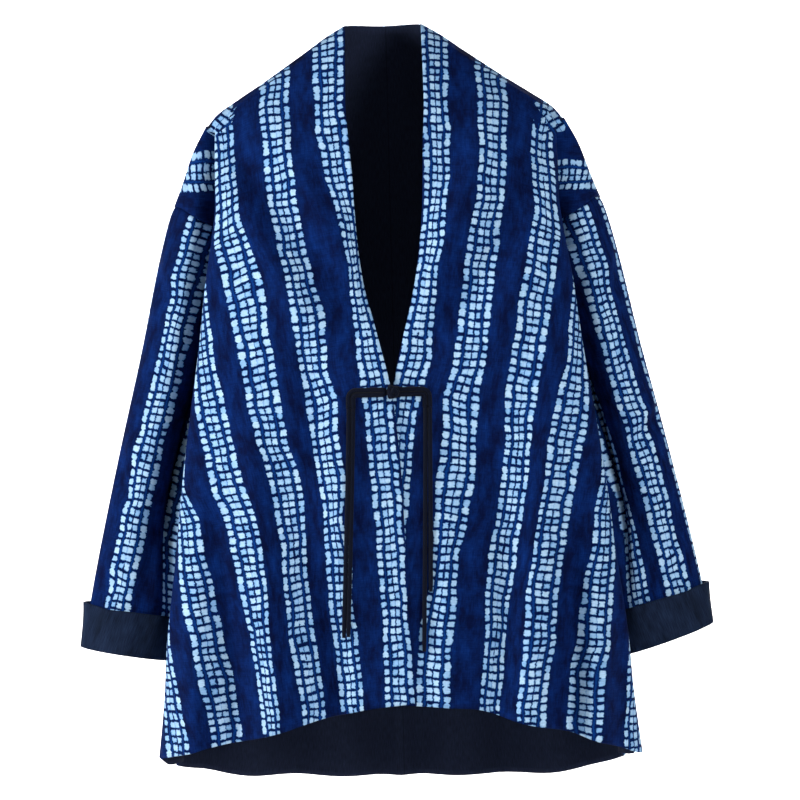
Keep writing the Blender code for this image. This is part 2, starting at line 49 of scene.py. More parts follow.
# Camera
# A long lens 3.6 m in front of the jacket and level with its middle, so that 1.05 mm of the side seams
# is one pixel. The camera is rolled a little, because the jacket hung a little out of true.
CAMERA_AT = (8.4 * MM, -3600 * MM, -394.3 * MM)
FRAME_WIDTH = 840 * MM
ROLL = 1.4


def placed(name, data):
    """A new object in the scene."""
    made = bpy.data.objects.new(name, data)
    bpy.context.scene.collection.objects.link(made)
    return made


camera = placed("camera", bpy.data.cameras.new("camera"))
camera.data.sensor_width = 36
camera.data.lens = camera.data.sensor_width * -CAMERA_AT[1] / FRAME_WIDTH
camera.location = CAMERA_AT
camera.rotation_euler = (math.radians(90), math.radians(ROLL), 0)
bpy.context.scene.camera = camera
bpy.context.scene.view_settings.view_transform = "Standard"  # colours as they are, with no film look

# Shape of the two fronts, on which the cords lie
# Two panels of print cotton that fill out over the chest and flare to the hem. The right one laps over
# the left one below the frog. Half widths and depths are given at each height.
TORSO_COLUMNS = ("z", "front", "lip_x", "lip_y", "side_x", "side_y", "rear_x", "rear_y", "back")
TORSO = (
    (-766, 153, 252, 24, 252, 6, 252, 26, 155),
    (-700, 150, 244, 34, 240, 20, 244, 50, 150),
    (-640, 146, 239, 44, 218, 42, 232, 85, 146),
    (-563, 141, 229, 50, 200, 46, 212, 100, 143),
    (-477, 135, 219, 54, 174, 46, 190, 104, 140),
    (-394, 131, 207, 56, 146, 46, 166, 106, 137),
    (-335, 130, 198, 56, 130, 45, 152, 108, 136),
    (-270, 127, 190, 56, 130, 45, 156, 106, 134),
    (-228, 125, 183, 55, 130, 45, 162, 100, 132),
    (-186, 125, 178, 52, 130, 45, 168, 92, 130),
    (-102, 125, 178, 50, 130, 45, 172, 85, 130),
)
NECK_HALF = 40.5 * MM
SHOULDER_Z, DROP_Z, UNDERARM_Z = -102 * MM, -185 * MM, -335 * MM
SIDE_HEM_Z, FRONT_HEM_Z, BACK_HEM_Z = -766 * MM, -700 * MM, -805 * MM
SHOULDER = (
    (40.5, 0), (60, -11.5), (82, -27), (104.5, -42.5), (128, -58.5), (153, -74.5), (178, -92),
    (186, -102),
)
FROG_Z = -386 * MM
FOLDS_FROM_Z, FOLD_RIDGE_X, FOLD_SPACING = -390 * MM, 119 * MM, 92 * MM


def smooth(xs, ys, at):
    """A curve through (xs, ys) that doesn't overshoot, read at the points at."""
    xs, ys = np.asarray(xs, float), np.asarray(ys, float)
    if xs[0] > xs[-1]:
        xs, ys = xs[::-1], ys[::-1]
    step = np.diff(xs)
    slope = np.diff(ys) / step
    tangent = np.concatenate([[slope[0]], np.zeros(len(xs) - 2), [slope[-1]]])
    same = slope[1:] * slope[:-1] > 0
    tangent[1:-1][same] = 2 / (1 / slope[1:][same] + 1 / slope[:-1][same])
    at = np.clip(at, xs[0], xs[-1])
    k = np.clip(np.searchsorted(xs, at, side="right") - 1, 0, len(step) - 1)
    h = step[k]
    t = (at - xs[k]) / h
    from_here = ys[k] * (1 + 2 * t) * (1 - t) ** 2 + tangent[k] * h * t * (1 - t) ** 2
    return from_here + ys[k + 1] * t * t * (3 - 2 * t) + tangent[k + 1] * h * t * t * (t - 1)


def read(table, columns, name, z):
    """One column of a table in mm at the height z, in metres."""
    rows = np.array(table, float)
    return smooth(rows[:, 0] * MM, rows[:, columns.index(name)] * MM, z)


def torso(name, z):
    return read(TORSO, TORSO_COLUMNS, name, z)


def ease(share):
    share = np.clip(share, 0, 1)
    return share * share * (3 - 2 * share)


def run_along(points):
    """Distances along a line of points, from its first one."""
    return np.concatenate([[0], np.cumsum(np.linalg.norm(np.diff(points, axis=0), axis=1))])


def shoulder_line(x):
    """Height of the shoulder line at the half width x."""
    xs, zs = np.array(SHOULDER).T * MM
    return np.where(x > NECK_HALF, smooth(xs, zs, x), (NECK_HALF**2 - x**2) / NECK_HALF)


def rounding(x, z):
    """The share of its full depth that the body has: none on the shoulder line, all of it lower down."""
    outwards = np.clip((x - NECK_HALF) / (torso("lip_x", SHOULDER_Z) - NECK_HALF), 0, 1)
    drop = (250 - 140 * outwards) * MM
    below = np.clip((shoulder_line(x) - z) / drop, 0, 1)
    return (1 - (1 - below) ** 2) ** 0.75


def hanging_fold(x, z, is_back):
    """How far the folds that hang from the chest bring the cloth outwards."""
    grown = ease((FOLDS_FROM_Z - z) / (FOLDS_FROM_Z - SIDE_HEM_Z))
    ridge = FOLD_RIDGE_X + 0.05 * (z - SIDE_HEM_Z)
    wave = np.cos(2 * math.pi * (x - ridge) / FOLD_SPACING)
    inner = 1 if is_back else ease((x - 25 * MM) / (35 * MM))
    outer = ease((torso("lip_x", z) - x) / (45 * MM))
    return (9 if is_back else 12) * MM * grown * wave * inner * outer


def panel_y(x, z, is_back):
    """Depth of the front's or back's outer face at a place seen from the front."""
    full, lip_x, lip_y = ("back", "rear_x", "rear_y") if is_back else ("front", "lip_x", "lip_y")
    x = np.abs(x)
    share = np.clip(x / torso(lip_x, z), 0, 1)
    deep = torso(lip_y, z) + (torso(full, z) - torso(lip_y, z)) * (1 - share**2.5) ** 0.4
    return (1 if is_back else -1) * (deep * rounding(x, z) + hanging_fold(x, z, is_back))


def lap(x, z):
    """How far the right front is raised where it lies over the left one."""
    return 5 * MM * ease((90 * MM - x) / (45 * MM)) * ease((FROG_Z + 60 * MM - z) / (60 * MM))


def on_front(x, z, side, lift):
    """A point lift in front of the outer face of the front on one side."""
    return np.array([x, panel_y(x, z, False) - (lap(x * side, z) if side < 0 else 0) - lift, z])


# Free ends of the frog's cords
# Bias tube of the dark lining cloth, 4.4 mm thick, that hangs from the two straps of the frog. The ends
# are turned in and sewn shut. They hang limp down the fronts, clear of the cloth.
CORD = 4.4 * MM
STRAP_TAIL_Z = -402 * MM
CORD_CLEAR = 0.4 * MM
TIES = (
    ("tie_right_outer", -43.7, -53.8, -632),
    ("tie_right_inner", -39.25, -49.35, -631),
    ("tie_left_inner", 33.8, 26.6, -648),
    ("tie_left_outer", 38.25, 34.8, -588),
)


def linear(code):
    """An sRGB hex colour as linear values."""
    parts = [int(code[k : k + 2], 16) / 255 for k in (1, 3, 5)]
    return (*(c / 12.92 if c <= 0.04045 else ((c + 0.055) / 1.055) ** 2.4 for c in parts), 1)


def node(kind, inputs=(), operation=None, out=0, **settings):
    """Adds one node to the newest material, with its settings and its inputs by index or name, and gives
    back one output."""
    made = tree.nodes.new("ShaderNode" + kind)
    if operation:
        made.operation = operation
    for key, value in settings.items():
        setattr(made, key, value)
    for key, value in inputs.items() if isinstance(inputs, dict) else enumerate(inputs):
        if isinstance(value, bpy.types.NodeSocket):
            tree.links.new(value, made.inputs[key])
        elif value is not None:
            made.inputs[key].default_value = value
    return made.outputs[out]


def new_material(name, rough, sheen):
    """A Principled material of its own, its node tree and its shader."""
    made = bpy.data.materials.new(name)
    made.use_nodes = True
    shader = made.node_tree.nodes["Principled BSDF"]
    shader.inputs["Roughness"].default_value = rough
    shader.inputs["IOR"].default_value = 1.47
    shader.inputs["Specular IOR Level"].default_value = 0.03
    shader.inputs["Sheen Weight"].default_value = sheen
    shader.inputs["Sheen Roughness"].default_value = 0.5
    return made, made.node_tree, shader


def finish(colour, threads, strength, depth):
    """Gives the newest shader its colour, and its threads, which stand out by up to depth."""
    tree.links.new(colour, shader.inputs["Base Color"])
    bump = node("Bump", {"Height": threads, "Strength": strength, "Distance": depth})
    tree.links.new(bump, shader.inputs["Normal"])


# Woven cotton tube, cut on the bias: the threads run round it slantwise, so it shows a fine twisted rib
# and hardly any gloss. The rib is drawn 1.8 mm apart, about three times its real size, so that it shows.
bias_tube, tree, shader = new_material("bias_cotton_tube", 0.88, 0.04)
RIB_PITCH = 1.8 * MM
cut = node("UVMap", uv_map="cut")
slant = node("VectorMath", (cut, (1, 0.8, 0)), "DOT_PRODUCT", out=1)
rib = node("Math", (slant, 2 * math.pi / RIB_PITCH), "MULTIPLY")
rib = node("Math", (rib,), "SINE")
fluff = node("TexNoise", {"Vector": cut, "Scale": 1100, "Detail": 3})
tone = node("Math", (rib, 0.12, fluff), "MULTIPLY_ADD")
colour = node("Mix", {0: tone, 6: linear("#04050a"), 7: linear("#121727")}, out=2, data_type="RGBA")
finish(colour, tone, 0.5, 0.5 * MM)


def add_cord(name, points, half_thick, closed=False):
    """A round tube along a line of points, its half thickness given point by point."""
    points = np.array(points)
    ahead = np.roll(points, -1, axis=0) - np.roll(points, 1, axis=0)
    if not closed:
        ahead[0], ahead[-1] = points[1] - points[0], points[-1] - points[-2]
    ahead /= np.linalg.norm(ahead, axis=1, keepdims=True)
    length = run_along(points)
    work = bmesh.new()
    layer = work.loops.layers.uv.new("cut")
    around = 14
    side_on = np.cross(ahead[0], (0.31, 0.9, 0.22))
    rings = []
    for point, along, half in zip(points, ahead, half_thick):
        side_on = side_on - np.dot(side_on, along) * along
        side_on /= np.linalg.norm(side_on)
        other = np.cross(along, side_on)
        turns = [2 * math.pi * k / around for k in range(around)]
        rings.append([work.verts.new(point + half * (math.cos(a) * side_on + math.sin(a) * other))
                      for a in turns])
    for i in range(len(rings) if closed else len(rings) - 1):
        nearer, further = rings[i], rings[(i + 1) % len(rings)]
        ends = (length[i], length[i + 1] if i + 1 < len(rings) else length[i])
        for k in range(around):
            after = (k + 1) % around
            face = work.faces.new((nearer[k], nearer[after], further[after], further[k]))
            face.smooth = True
            for loop, (run, turn) in zip(face.loops, ((0, k), (0, k + 1), (1, k + 1), (1, k))):
                loop[layer].uv = (ends[run], CORD * math.pi * turn / around)
    if not closed:
        work.faces.new(rings[0][::-1])
        work.faces.new(rings[-1])
    bmesh.ops.recalc_face_normals(work, faces=work.faces)
    mesh = bpy.data.meshes.new(name)
    work.to_mesh(mesh)
    work.free()
    mesh.materials.append(bias_tube)
    cord = placed(name, mesh)
    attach(cord, "root")
    return cord


for name, start_x, end_x, end_z in TIES:
    side = 1 if start_x > 0 else -1
    top = STRAP_TAIL_Z - CORD_CLEAR
    route = []
    for share in np.linspace(0, 1, round((top - end_z * MM) / (9 * MM)) + 1):
        x = (start_x + (end_x - start_x) * share**1.15) * MM
        lift = CORD / 2 + CORD_CLEAR + 2 * MM * ease(4 * share)
        route.append(on_front(x, top + (end_z * MM - top) * share, side, lift))
    half_thick = [CORD / 2 * (0.8 if k == len(route) - 1 else 1) for k in range(len(route))]
    tie = add_cord(name + "_cord", route, half_thick)
    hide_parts(name)

# Frog
# A ball knot on a doubled strap on the right front, in a doubled loop on the left one. Strap and loop
# are each one length of the same bias tube, its two runs side by side.
STRAND_HALF = 2.4 * MM
LOOP_HALF = 3.6 * MM


def arc(middle_x, middle_z, radius, start, end, count):
    """(x, z) points round an arc, angles in degrees from +X towards +Z."""
    turns = np.radians(np.linspace(start, end, count + 1))
    return [(middle_x + radius * math.cos(a), middle_z + radius * math.sin(a)) for a in turns]


def strap_route(corner_x, side, end_x, half_at_end):
    """(x, z) up one strand, round the closed end at the middle, back and down the other strand."""
    bend = 3.2 * MM
    wide_bend = bend + 2 * STRAND_HALF
    outer_x, inner_x = corner_x + side * STRAND_HALF, corner_x - side * STRAND_HALF
    high, low = FROG_Z + STRAND_HALF, FROG_Z - STRAND_HALF
    sideways = 0 if side > 0 else 180
    over = arc(outer_x - side * wide_bend, high - wide_bend, wide_bend, sideways, 90, 5)
    under = arc(inner_x - side * bend, low - bend, bend, 90, sideways, 4)
    turn_back = arc(end_x + side * half_at_end, FROG_Z, half_at_end, 90, 270 if side > 0 else -90, 8)
    top, foot = [], []
    if half_at_end > STRAND_HALF:
        open_x = end_x + side * 8 * MM
        shut_x = open_x + side * 5 * MM
        top = [(shut_x, high), (open_x, FROG_Z + half_at_end)]
        foot = [(open_x, FROG_Z - half_at_end), (shut_x, low)]
    return [(outer_x, STRAP_TAIL_Z)] + over + top + turn_back + foot + under + [(inner_x, STRAP_TAIL_Z)]


STRAPS = (
    ("frog_strap_right", -41.5 * MM, -1, -6.6 * MM, STRAND_HALF),
    ("frog_loop_left", 36 * MM, 1, -3 * MM, LOOP_HALF),
)
for name, corner_x, side, end_x, half in STRAPS:
    corners = np.array(strap_route(corner_x, side, end_x, half))
    run = run_along(corners)
    at = np.linspace(0, run[-1], round(run[-1] / (1.2 * MM)) + 1)
    places = zip(np.interp(at, run, corners[:, 0]), np.interp(at, run, corners[:, 1]))
    lift = CORD / 2 + CORD_CLEAR
    route = [on_front(x, z, -1 if x < 3 * MM else side, lift) for x, z in places]
    strap = add_cord(name + "_tube", route, [STRAND_HALF + 0.05 * MM] * len(route))
    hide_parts(name)

# The knot's tube goes round a ball three times, over and under itself, as in a plaited button knot
knot_at = on_front(1 * MM, FROG_Z, -1, 9.25 * MM)
turns = np.linspace(0, 2 * math.pi, 240, endpoint=False)
lean = math.radians(58) * np.sin(4 * turns)
out = 1 + 0.16 * np.cos(8 * turns + 3 * turns)
winding = np.stack([4.4 * MM * out * np.cos(lean) * np.cos(3 * turns),
                    3.0 * MM * out * np.cos(lean) * np.sin(3 * turns),
                    5.2 * MM * out * np.sin(lean)], axis=1)
knot = add_cord("frog_knot_winding", winding + knot_at, [2.0 * MM] * len(winding), closed=True)
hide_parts("frog_knot")

# Print cloth
# Plain-weave cotton dyed indigo after its stripes were bound and stitched, so that they resisted the dye:
# four columns of pale squares to a stripe, the two outer columns ragged and often joined in pairs.
STRIPE_REPEAT = 59.5  # mm across the cloth
SQUARE_PITCH = 8.4  # mm along it
INNER_HALF = 7.9  # mm from a stripe's middle to the outer columns


def repeats(at, pitch, middle):
    """Which repeat of a pitch a place is in, and how far it lies from the middle of that repeat."""
    count = node("Math", (at, pitch), "DIVIDE")
    share = node("Math", (count,), "FRACT")
    off_middle = node("Math", (share, pitch, -middle), "MULTIPLY_ADD")
    return node("Math", (count,), "FLOOR"), off_middle


def by_chance(*key):
    """A random share that stays the same for the same key."""
    return node("TexWhiteNoise", {"Vector": node("CombineXYZ", key)}, noise_dimensions="3D")


printed, tree, shader = new_material("resist_dyed_cotton", 0.9, 0.0)
cut = node("UVMap", uv_map="cut")
millimetres = node("VectorMath", {0: cut, "Scale": 1000}, "SCALE")
# Hand stitching wanders by a millimetre or so over a hand's breadth, and the dye's edge is ragged
moved = millimetres
for noise_scale, detail, reach in ((0.03, 1, (7, 9, 0)), (0.42, 2, (3.2, 3.2, 0))):
    noise = node("TexNoise", {"Vector": millimetres, "Scale": noise_scale, "Detail": detail}, out=1)
    noise = node("VectorMath", (noise, (0.5, 0.5, 0.5)), "SUBTRACT")
    moved = node("VectorMath", (noise, reach, moved), "MULTIPLY_ADD")
across = node("SeparateXYZ", (moved,), out=0)
down = node("SeparateXYZ", (moved,), out=1)
stripe, off_middle = repeats(across, STRIPE_REPEAT, STRIPE_REPEAT / 4)
half = node("Math", (off_middle,), "ABSOLUTE")
outer = node("Math", (half, INNER_HALF), "GREATER_THAN")
inner = node("Math", (1.0, outer), "SUBTRACT")
column = node("Math", (off_middle, INNER_HALF), "DIVIDE")
column = node("Math", (column,), "FLOOR")
# Each outer column's squares start a little higher or lower than its neighbour's
slip = node("Math", (by_chance(stripe, column, outer), outer), "MULTIPLY")
down = node("Math", (slip, SQUARE_PITCH, down), "MULTIPLY_ADD")
pair, pair_at = repeats(down, 2 * SQUARE_PITCH, SQUARE_PITCH)
single, single_at = repeats(down, SQUARE_PITCH, SQUARE_PITCH / 2)
# More than half of the outer pairs are joined, and in some places the two inner squares nearly are
joined = node("Math", (by_chance(stripe, column, pair), 0.55), "LESS_THAN")
joined = node("Math", (joined, outer), "MULTIPLY")
often = node("TexNoise", {"Vector": millimetres, "Scale": 0.012, "Detail": 1})
often = node("MapRange", {0: often, 1: 0.52, 2: 0.62, 3: 0.08, 4: 0.8})
bridged = node("Math", (by_chance(stripe, 9, single), often), "LESS_THAN")
bridged = node("Math", (bridged, inner), "MULTIPLY")
chance = by_chance(column, single, stripe)
# A square's own place: x from its column's middle, y from its own
column_middle = node("Math", (outer, 8.9, 3.2), "MULTIPLY_ADD")
column_middle = node("Math", (bridged, -0.5, column_middle), "MULTIPLY_ADD")
own_x = node("Math", (half, column_middle), "SUBTRACT")
own_x = node("Math", (own_x,), "ABSOLUTE")
own_y = node("Mix", {0: joined, 2: single_at, 3: pair_at})
own_y = node("Math", (own_y,), "ABSOLUTE")
tall = (joined, SQUARE_PITCH / 2 - 0.2, SQUARE_PITCH / 2 - 1.05)
tall = node("Math", tall, "MULTIPLY_ADD")
wide = node("Math", (bridged, 0.2, 2.75), "MULTIPLY_ADD")
wide = node("Math", (outer, 0.4, wide), "MULTIPLY_ADD")
waist = node("MapRange", {0: own_y, 1: 0.0, 2: 1.7, 3: -1.5, 4: 0.0})
wide = node("Math", (joined, waist, wide), "MULTIPLY_ADD")
# Distance outside a rounded square, with a random share of each one's size taken off
corner = node("Math", (outer, 0.9, 1.0), "MULTIPLY_ADD")
beside = node("Math", (own_x, wide), "SUBTRACT")
past_x = node("Math", (beside, corner), "ADD")
past_y = node("Math", (own_y, tall), "SUBTRACT")
past_y = node("Math", (past_y, corner), "ADD")
round_part = [node("Math", (past, 0), "MAXIMUM") for past in (past_x, past_y)]
round_part = node("CombineXYZ", round_part)
round_part = node("VectorMath", (round_part,), "LENGTH", out=1)
flat_part = node("Math", (past_x, past_y), "MAXIMUM")
flat_part = node("Math", (flat_part, 0), "MINIMUM")
outside = node("Math", (round_part, flat_part), "ADD")
outside = node("Math", (outside, corner), "SUBTRACT")
less = node("Math", (chance, 3), "POWER")
outside = node("Math", (less, 0.7, outside), "MULTIPLY_ADD")
# The ground: deep navy with bluer patches where the dye took less. It is dark close round the squares,
# where the stitches held most dye, and bluest along the lines between the columns.
patches = node("VectorMath", (millimetres, (1.6, 0.7, 1)), "MULTIPLY")
patches = node("TexNoise", {"Vector": patches, "Scale": 0.045, "Detail": 5, "Roughness": 0.68})
patches = node("MapRange", {0: patches, 1: 0.38, 2: 0.7})
ground = node("Mix", {0: patches, 6: linear("#050e31"), 7: linear("#082560")}, out=2, data_type="RGBA")
soft = "SMOOTHSTEP"
held = node("MapRange", {0: outside, 1: 2.4, 2: 0.6, 3: 0.0, 4: 0.7}, interpolation_type=soft)
ground = node("Mix", {0: held, 6: ground, 7: linear("#04123c")}, out=2, data_type="RGBA")
line = node("MapRange", {0: beside, 1: 0.2, 2: 1.3}, interpolation_type=soft)
fading = node("MapRange", {0: beside, 1: 3.2, 2: 1.3, 3: 0.0, 4: 0.42}, interpolation_type=soft)
line = node("Math", (line, fading), "MULTIPLY")
between = node("MapRange", {0: half, 1: 9.4, 2: 8.8, 3: 0.12, 4: 1.0})
line = node("Math", (line, between), "MULTIPLY")
ground = node("Mix", {0: line, 6: ground, 7: linear("#0a4290")}, out=2, data_type="RGBA")
# Slubs, thicker threads both ways of the weave, drawn 1.5 mm apart, twice their size, so that they show
slubs = []
for along_threads in ((0.9, 0.07, 1), (0.07, 0.9, 1)):
    drawn = node("VectorMath", (millimetres, along_threads), "MULTIPLY")
    slubs.append(node("TexNoise", {"Vector": drawn, "Scale": 1, "Detail": 2}))
slubs = node("Math", slubs, "ADD")
threads = node("MapRange", {0: slubs, 1: 0.7, 2: 1.3, 3: 0.72, 4: 1.28})
ground = node("VectorMath", {0: ground, "Scale": threads}, "SCALE")
pale = node("Mix", {0: chance, 6: linear("#a8c6df"), 7: linear("#7fa8d2")}, out=2, data_type="RGBA")
faint = node("MapRange", {0: slubs, 1: 0.75, 2: 1.25, 3: 0.86, 4: 1.1})
pale = node("VectorMath", {0: pale, "Scale": faint}, "SCALE")
edge = node("MapRange", {0: outside, 1: -1.1, 2: 0.4}, interpolation_type=soft)
pale = node("Mix", {0: edge, 6: pale, 7: linear("#2f74b8")}, out=2, data_type="RGBA")
square = node("MapRange", {0: outside, 1: 0.3, 2: -0.3}, interpolation_type=soft)
colour = node("Mix", {0: square, 6: ground, 7: pale}, out=2, data_type="RGBA")
finish(colour, slubs, 0.35, 0.4 * MM)

# Lining cloth
# The plain dark side of the jacket: a closer, smoother cotton, piece-dyed near-black navy, so it shows
# almost no pattern, only a faint thread and a slight lift where it turns to the light.
lining, tree, shader = new_material("piece_dyed_lining_cotton", 0.9, 0.0)
cut = node("UVMap", uv_map="cut")
threads = node("VectorMath", (cut, (900, 120, 1)), "MULTIPLY")
threads = node("TexNoise", {"Vector": threads, "Scale": 1, "Detail": 3})
colour = node("Mix", {0: threads, 6: linear("#12151f"), 7: linear("#272f47")}, out=2, data_type="RGBA")
# A seam just below the back of the neck shows as a thin dark line, and down from it a thin dark line of
# painted shade stands for a pressed crease
seam = node("SeparateXYZ", (cut,), out=1)
seam = node("Math", (seam, 318.5 * MM, 0.7 * MM), "COMPARE")
# Painted shade: a thin dark line where a pressed crease runs down the middle of the back
crease_shade = node("SeparateXYZ", (cut,), out=0)
crease_shade = node("Math", (crease_shade, 3 * MM, 0.5 * MM), "COMPARE")
seam_and_crease_shade = node("Math", (crease_shade, 0.45, seam), "MULTIPLY_ADD")
seam_and_crease_shade = node("MapRange", {0: seam_and_crease_shade, 3: 0.0, 4: 0.75})
colour = node("Mix", {0: seam_and_crease_shade, 6: colour, 7: linear("#030408")}, out=2, data_type="RGBA")
finish(colour, threads, 0.25, 0.3 * MM)

# Fronts
# Each front is one panel from the shoulder to the hem, its front edge along the thread, with the part
# that goes on over the arm as far as the armhole. The lining is sewn to it all round and turned.
ARM_COLUMNS = ("z", "outer", "width", "middle_y", "depth")
ARM = (
    (-102, 188, 60, 0, 0),
    (-129, 203, 130, 8, 72),
    (-163, 216, 137, 17, 118),
    (-200, 231, 138, 26, 143),
    (-246, 244, 136, 34, 148),
    (-335, 264.5, 134, 45, 142),
    (-436, 289.5, 122, 50, 124),
    (-563, 318.5, 112, 50, 104),
    (-640, 334, 106, 50, 96),
    (-700, 347, 104, 50, 94),
)
CREASE = ((-102, 160), (-112, 132), (-130, 110), (-160, 99), (-190, 94), (-237, 90.5))
EDGE_COLUMNS = ("z", "right", "left")
EDGE = (
    (0, 40.5, 40.5),
    (-86, 40.5, 40.5),
    (-128, 38.5, 39),
    (-170, 35, 37.5),
    (-232, 31, 32.5),
    (-273, 26, 26.5),
    (-313, 16.5, 17.5),
    (-334, 11.5, 12),
    (-377, 1.5, 2),
    (-400, -2, -4),
    (-470, -8, -12),
    (-600, -12, -26),
    (-700, -16, -40),
)
CORNER_TURN = 90.5
CUFF_FOLD_Z = -660 * MM
CUFF_DEPTH = 45 * MM
LOWER_ROWS, ARMHOLE_ROWS, CAP_ROWS = 76, 26, 18
FRONT_COLUMNS, CAP_COLUMNS = 84, 22

# Where the stripes run, as they look from straight ahead: half widths of the two edges of each stripe,
# at each height. The stripes are straight in the cloth, so this says how the folds draw it together.
STRIPE_EDGES = (0, 29.6, 59.6, 89.1, 119.1, 148.6, 178.6, 208.1, 238.1, 267.6, 297.6, 327.1)
STRIPES = {
    "right": (
        (-16, 42, 74, 99, 130, 156, 188, 212, 244, 268, 299, 323, 355),
        (-79, 43, 75, 100, 131, 160, 187, 212, 244, 268, 299, 323, 355),
        (-132, 38, 69, 99, 129, 160, 180, 196, 223, 249, 275, 301, 328),
        (-184, 33, 57, 94, 124, 156, 181, 196, 223, 249, 275, 301, 328),
        (-226, 30, 46, 88, 117, 147, 182, 196, 223, 247, 273, 299, 326),
        (-268, 27, 41, 79, 109, 132, 174, 193, 219, 244, 270, 296, 322),
        (-310, 17, 38, 68, 104, 128, 167, 189, 212, 238, 265, 291, 317),
        (-352, 6, 35, 68, 97, 123, 158, 185, 210, 235, 261, 288, 314),
        (-394, 0, 30, 58, 90, 117, 152, 176, 208, 227, 254, 275, 301),
        (-436, -2, 27, 57, 85, 110, 142, 168, 200, 223, 248, 265, 291),
        (-478, -6, 24, 51, 79, 98, 131, 156, 193, 220, 240, 256, 280),
        (-520, -8, 21, 55, 75, 94, 124, 145, 178, 205, 231, 246, 267),
        (-562, -9, 19, 46, 74, 93, 119, 139, 169, 198, 232, 244, 262),
        (-604, -10, 16, 46, 72, 91, 117, 135, 162, 189, 226, 242, 259),
        (-646, -13, 15, 42, 67, 85, 114, 134, 154, 181, 217, 240, 254),
        (-688, -15, 15, 38, 64, 80, 107, 130, 149, 173, 211, 233, 251),
        (-720, -17, 14, 37, 61, 78, 102, 127, 145, 168, 202, 227, 252),
        (-772, -18, 13, 36, 59, 76, 100, 124, 141, 164, 195, 220, 254),
    ),
    "left": (
        (-16, 39, 67, 96, 128, 161, 192, 216, 246, 271, 302, 328, 359),
        (-79, 39, 67, 97, 128, 159, 187, 216, 246, 271, 302, 328, 359),
        (-132, 40, 67, 98, 127, 153, 174, 197, 224, 250, 276, 302, 329),
        (-184, 39, 63, 93, 122, 154, 178, 203, 229, 254, 279, 304, 330),
        (-226, 34, 58, 84, 117, 150, 180, 197, 223, 248, 273, 298, 323),
        (-268, 27, 50, 78, 111, 141, 174, 195, 220, 246, 271, 296, 321),
        (-310, 18, 46, 72, 106, 133, 168, 189, 210, 237, 262, 290, 315),
        (-352, 8, 42, 66, 100, 127, 160, 186, 206, 231, 256, 281, 307),
        (-394, -1, 29, 54, 91, 119, 152, 174, 208, 225, 250, 275, 300),
        (-436, -6, 21, 52, 87, 118, 145, 164, 202, 223, 248, 271, 294),
        (-478, -13, 17, 45, 84, 114, 141, 155, 192, 217, 245, 266, 290),
        (-520, -18, 13, 41, 77, 107, 134, 149, 184, 210, 232, 256, 281),
        (-562, -23, 8, 38, 66, 97, 127, 142, 178, 204, 233, 252, 276),
        (-604, -28, 2, 30, 63, 94, 119, 135, 171, 194, 231, 248, 271),
        (-646, -34, -4, 22, 57, 92, 113, 132, 168, 187, 229, 245, 267),
        (-688, -39, -8, 18, 54, 87, 110, 127, 159, 180, 218, 240, 262),
        (-720, -42, -13, 17, 52, 85, 105, 123, 154, 176, 215, 238, 254),
        (-772, -44, -15, 15, 50, 83, 103, 120, 151, 174, 210, 235, 256),
    ),
}
STRIPE_LEAN = ((0, 0.02), (-100, 0.05), (-250, 0.13), (-430, 0.16), (-600, 0.12), (-772, 0.08))


def arm(name, z):
    return read(ARM, ARM_COLUMNS, name, z)


def arm_point(turn, z, facing):
    """A point on the arm: turn 0 is its inner side and 180 its outer one, and facing is -1 in front."""
    wide = arm("width", z) / 2
    x = arm("outer", z) - wide - wide * np.cos(np.radians(turn))
    y = arm("middle_y", z) + facing * arm("depth", z) / 2 * np.sin(np.radians(turn))
    return np.stack(np.broadcast_arrays(x, y, z), axis=-1)


def arm_cloth(turn, z, facing):
    """A point of the cloth over the arm, which is drawn in deep where it meets the body."""
    turn, z = np.broadcast_arrays(turn, z)
    middle = np.where(z > -237 * MM, crease_turn(z), 84)
    there = ease((-106 * MM - z) / (16 * MM)) * ease((z + 640 * MM) / (160 * MM))
    pull = (20 if facing < 0 else 9) * MM * there * np.exp(-(((turn - middle) / 19) ** 2))
    if facing < 0:
        wide = arm("width", z) / 2
        beside_body = (arm("outer", z) - wide - torso("lip_x", z) - 5 * MM) / wide
        beside_body = np.degrees(np.arccos(np.clip(beside_body, -1, 1)))
        lower = ease((-150 * MM - z) / (60 * MM))
        pull = pull + (20 + 20 * lower) * MM * there * np.exp(-(((turn - beside_body) / 10) ** 2))
    out = np.stack([-np.cos(np.radians(turn)), facing * np.sin(np.radians(turn)), 0 * turn], axis=-1)
    return arm_point(turn, z, facing) - out * pull[..., None]


def armhole_z(turn):
    share = (1 + np.cos(np.radians(turn))) / 2
    return DROP_Z + (UNDERARM_Z - DROP_Z) * share**1.5


def crease_turn(z):
    return smooth([row[0] * MM for row in CREASE], [row[1] for row in CREASE], z)


HEM_ACROSS = (0, 0.19, 0.41, 0.55, 0.64, 0.73, 0.8, 0.87, 1)
HEM_FALL = {  # how far each front's hem has fallen by then, of its whole fall to the side seam
    "right": (0, 0.08, 0.29, 0.44, 0.54, 0.61, 0.66, 0.74, 0.9),
    "left": (0, 0.04, 0.14, 0.33, 0.44, 0.54, 0.65, 0.75, 1),
}


def hem_z(across, is_back, side):
    """Height of the hem at a share of the way from the middle or front edge to the widest point."""
    if is_back:
        return BACK_HEM_Z + 0.8 * (SIDE_HEM_Z - BACK_HEM_Z) * np.clip(across, 0, 1) ** 6
    fall = smooth(HEM_ACROSS, HEM_FALL["right" if side < 0 else "left"], across)
    return FRONT_HEM_Z + (SIDE_HEM_Z - FRONT_HEM_Z) * fall


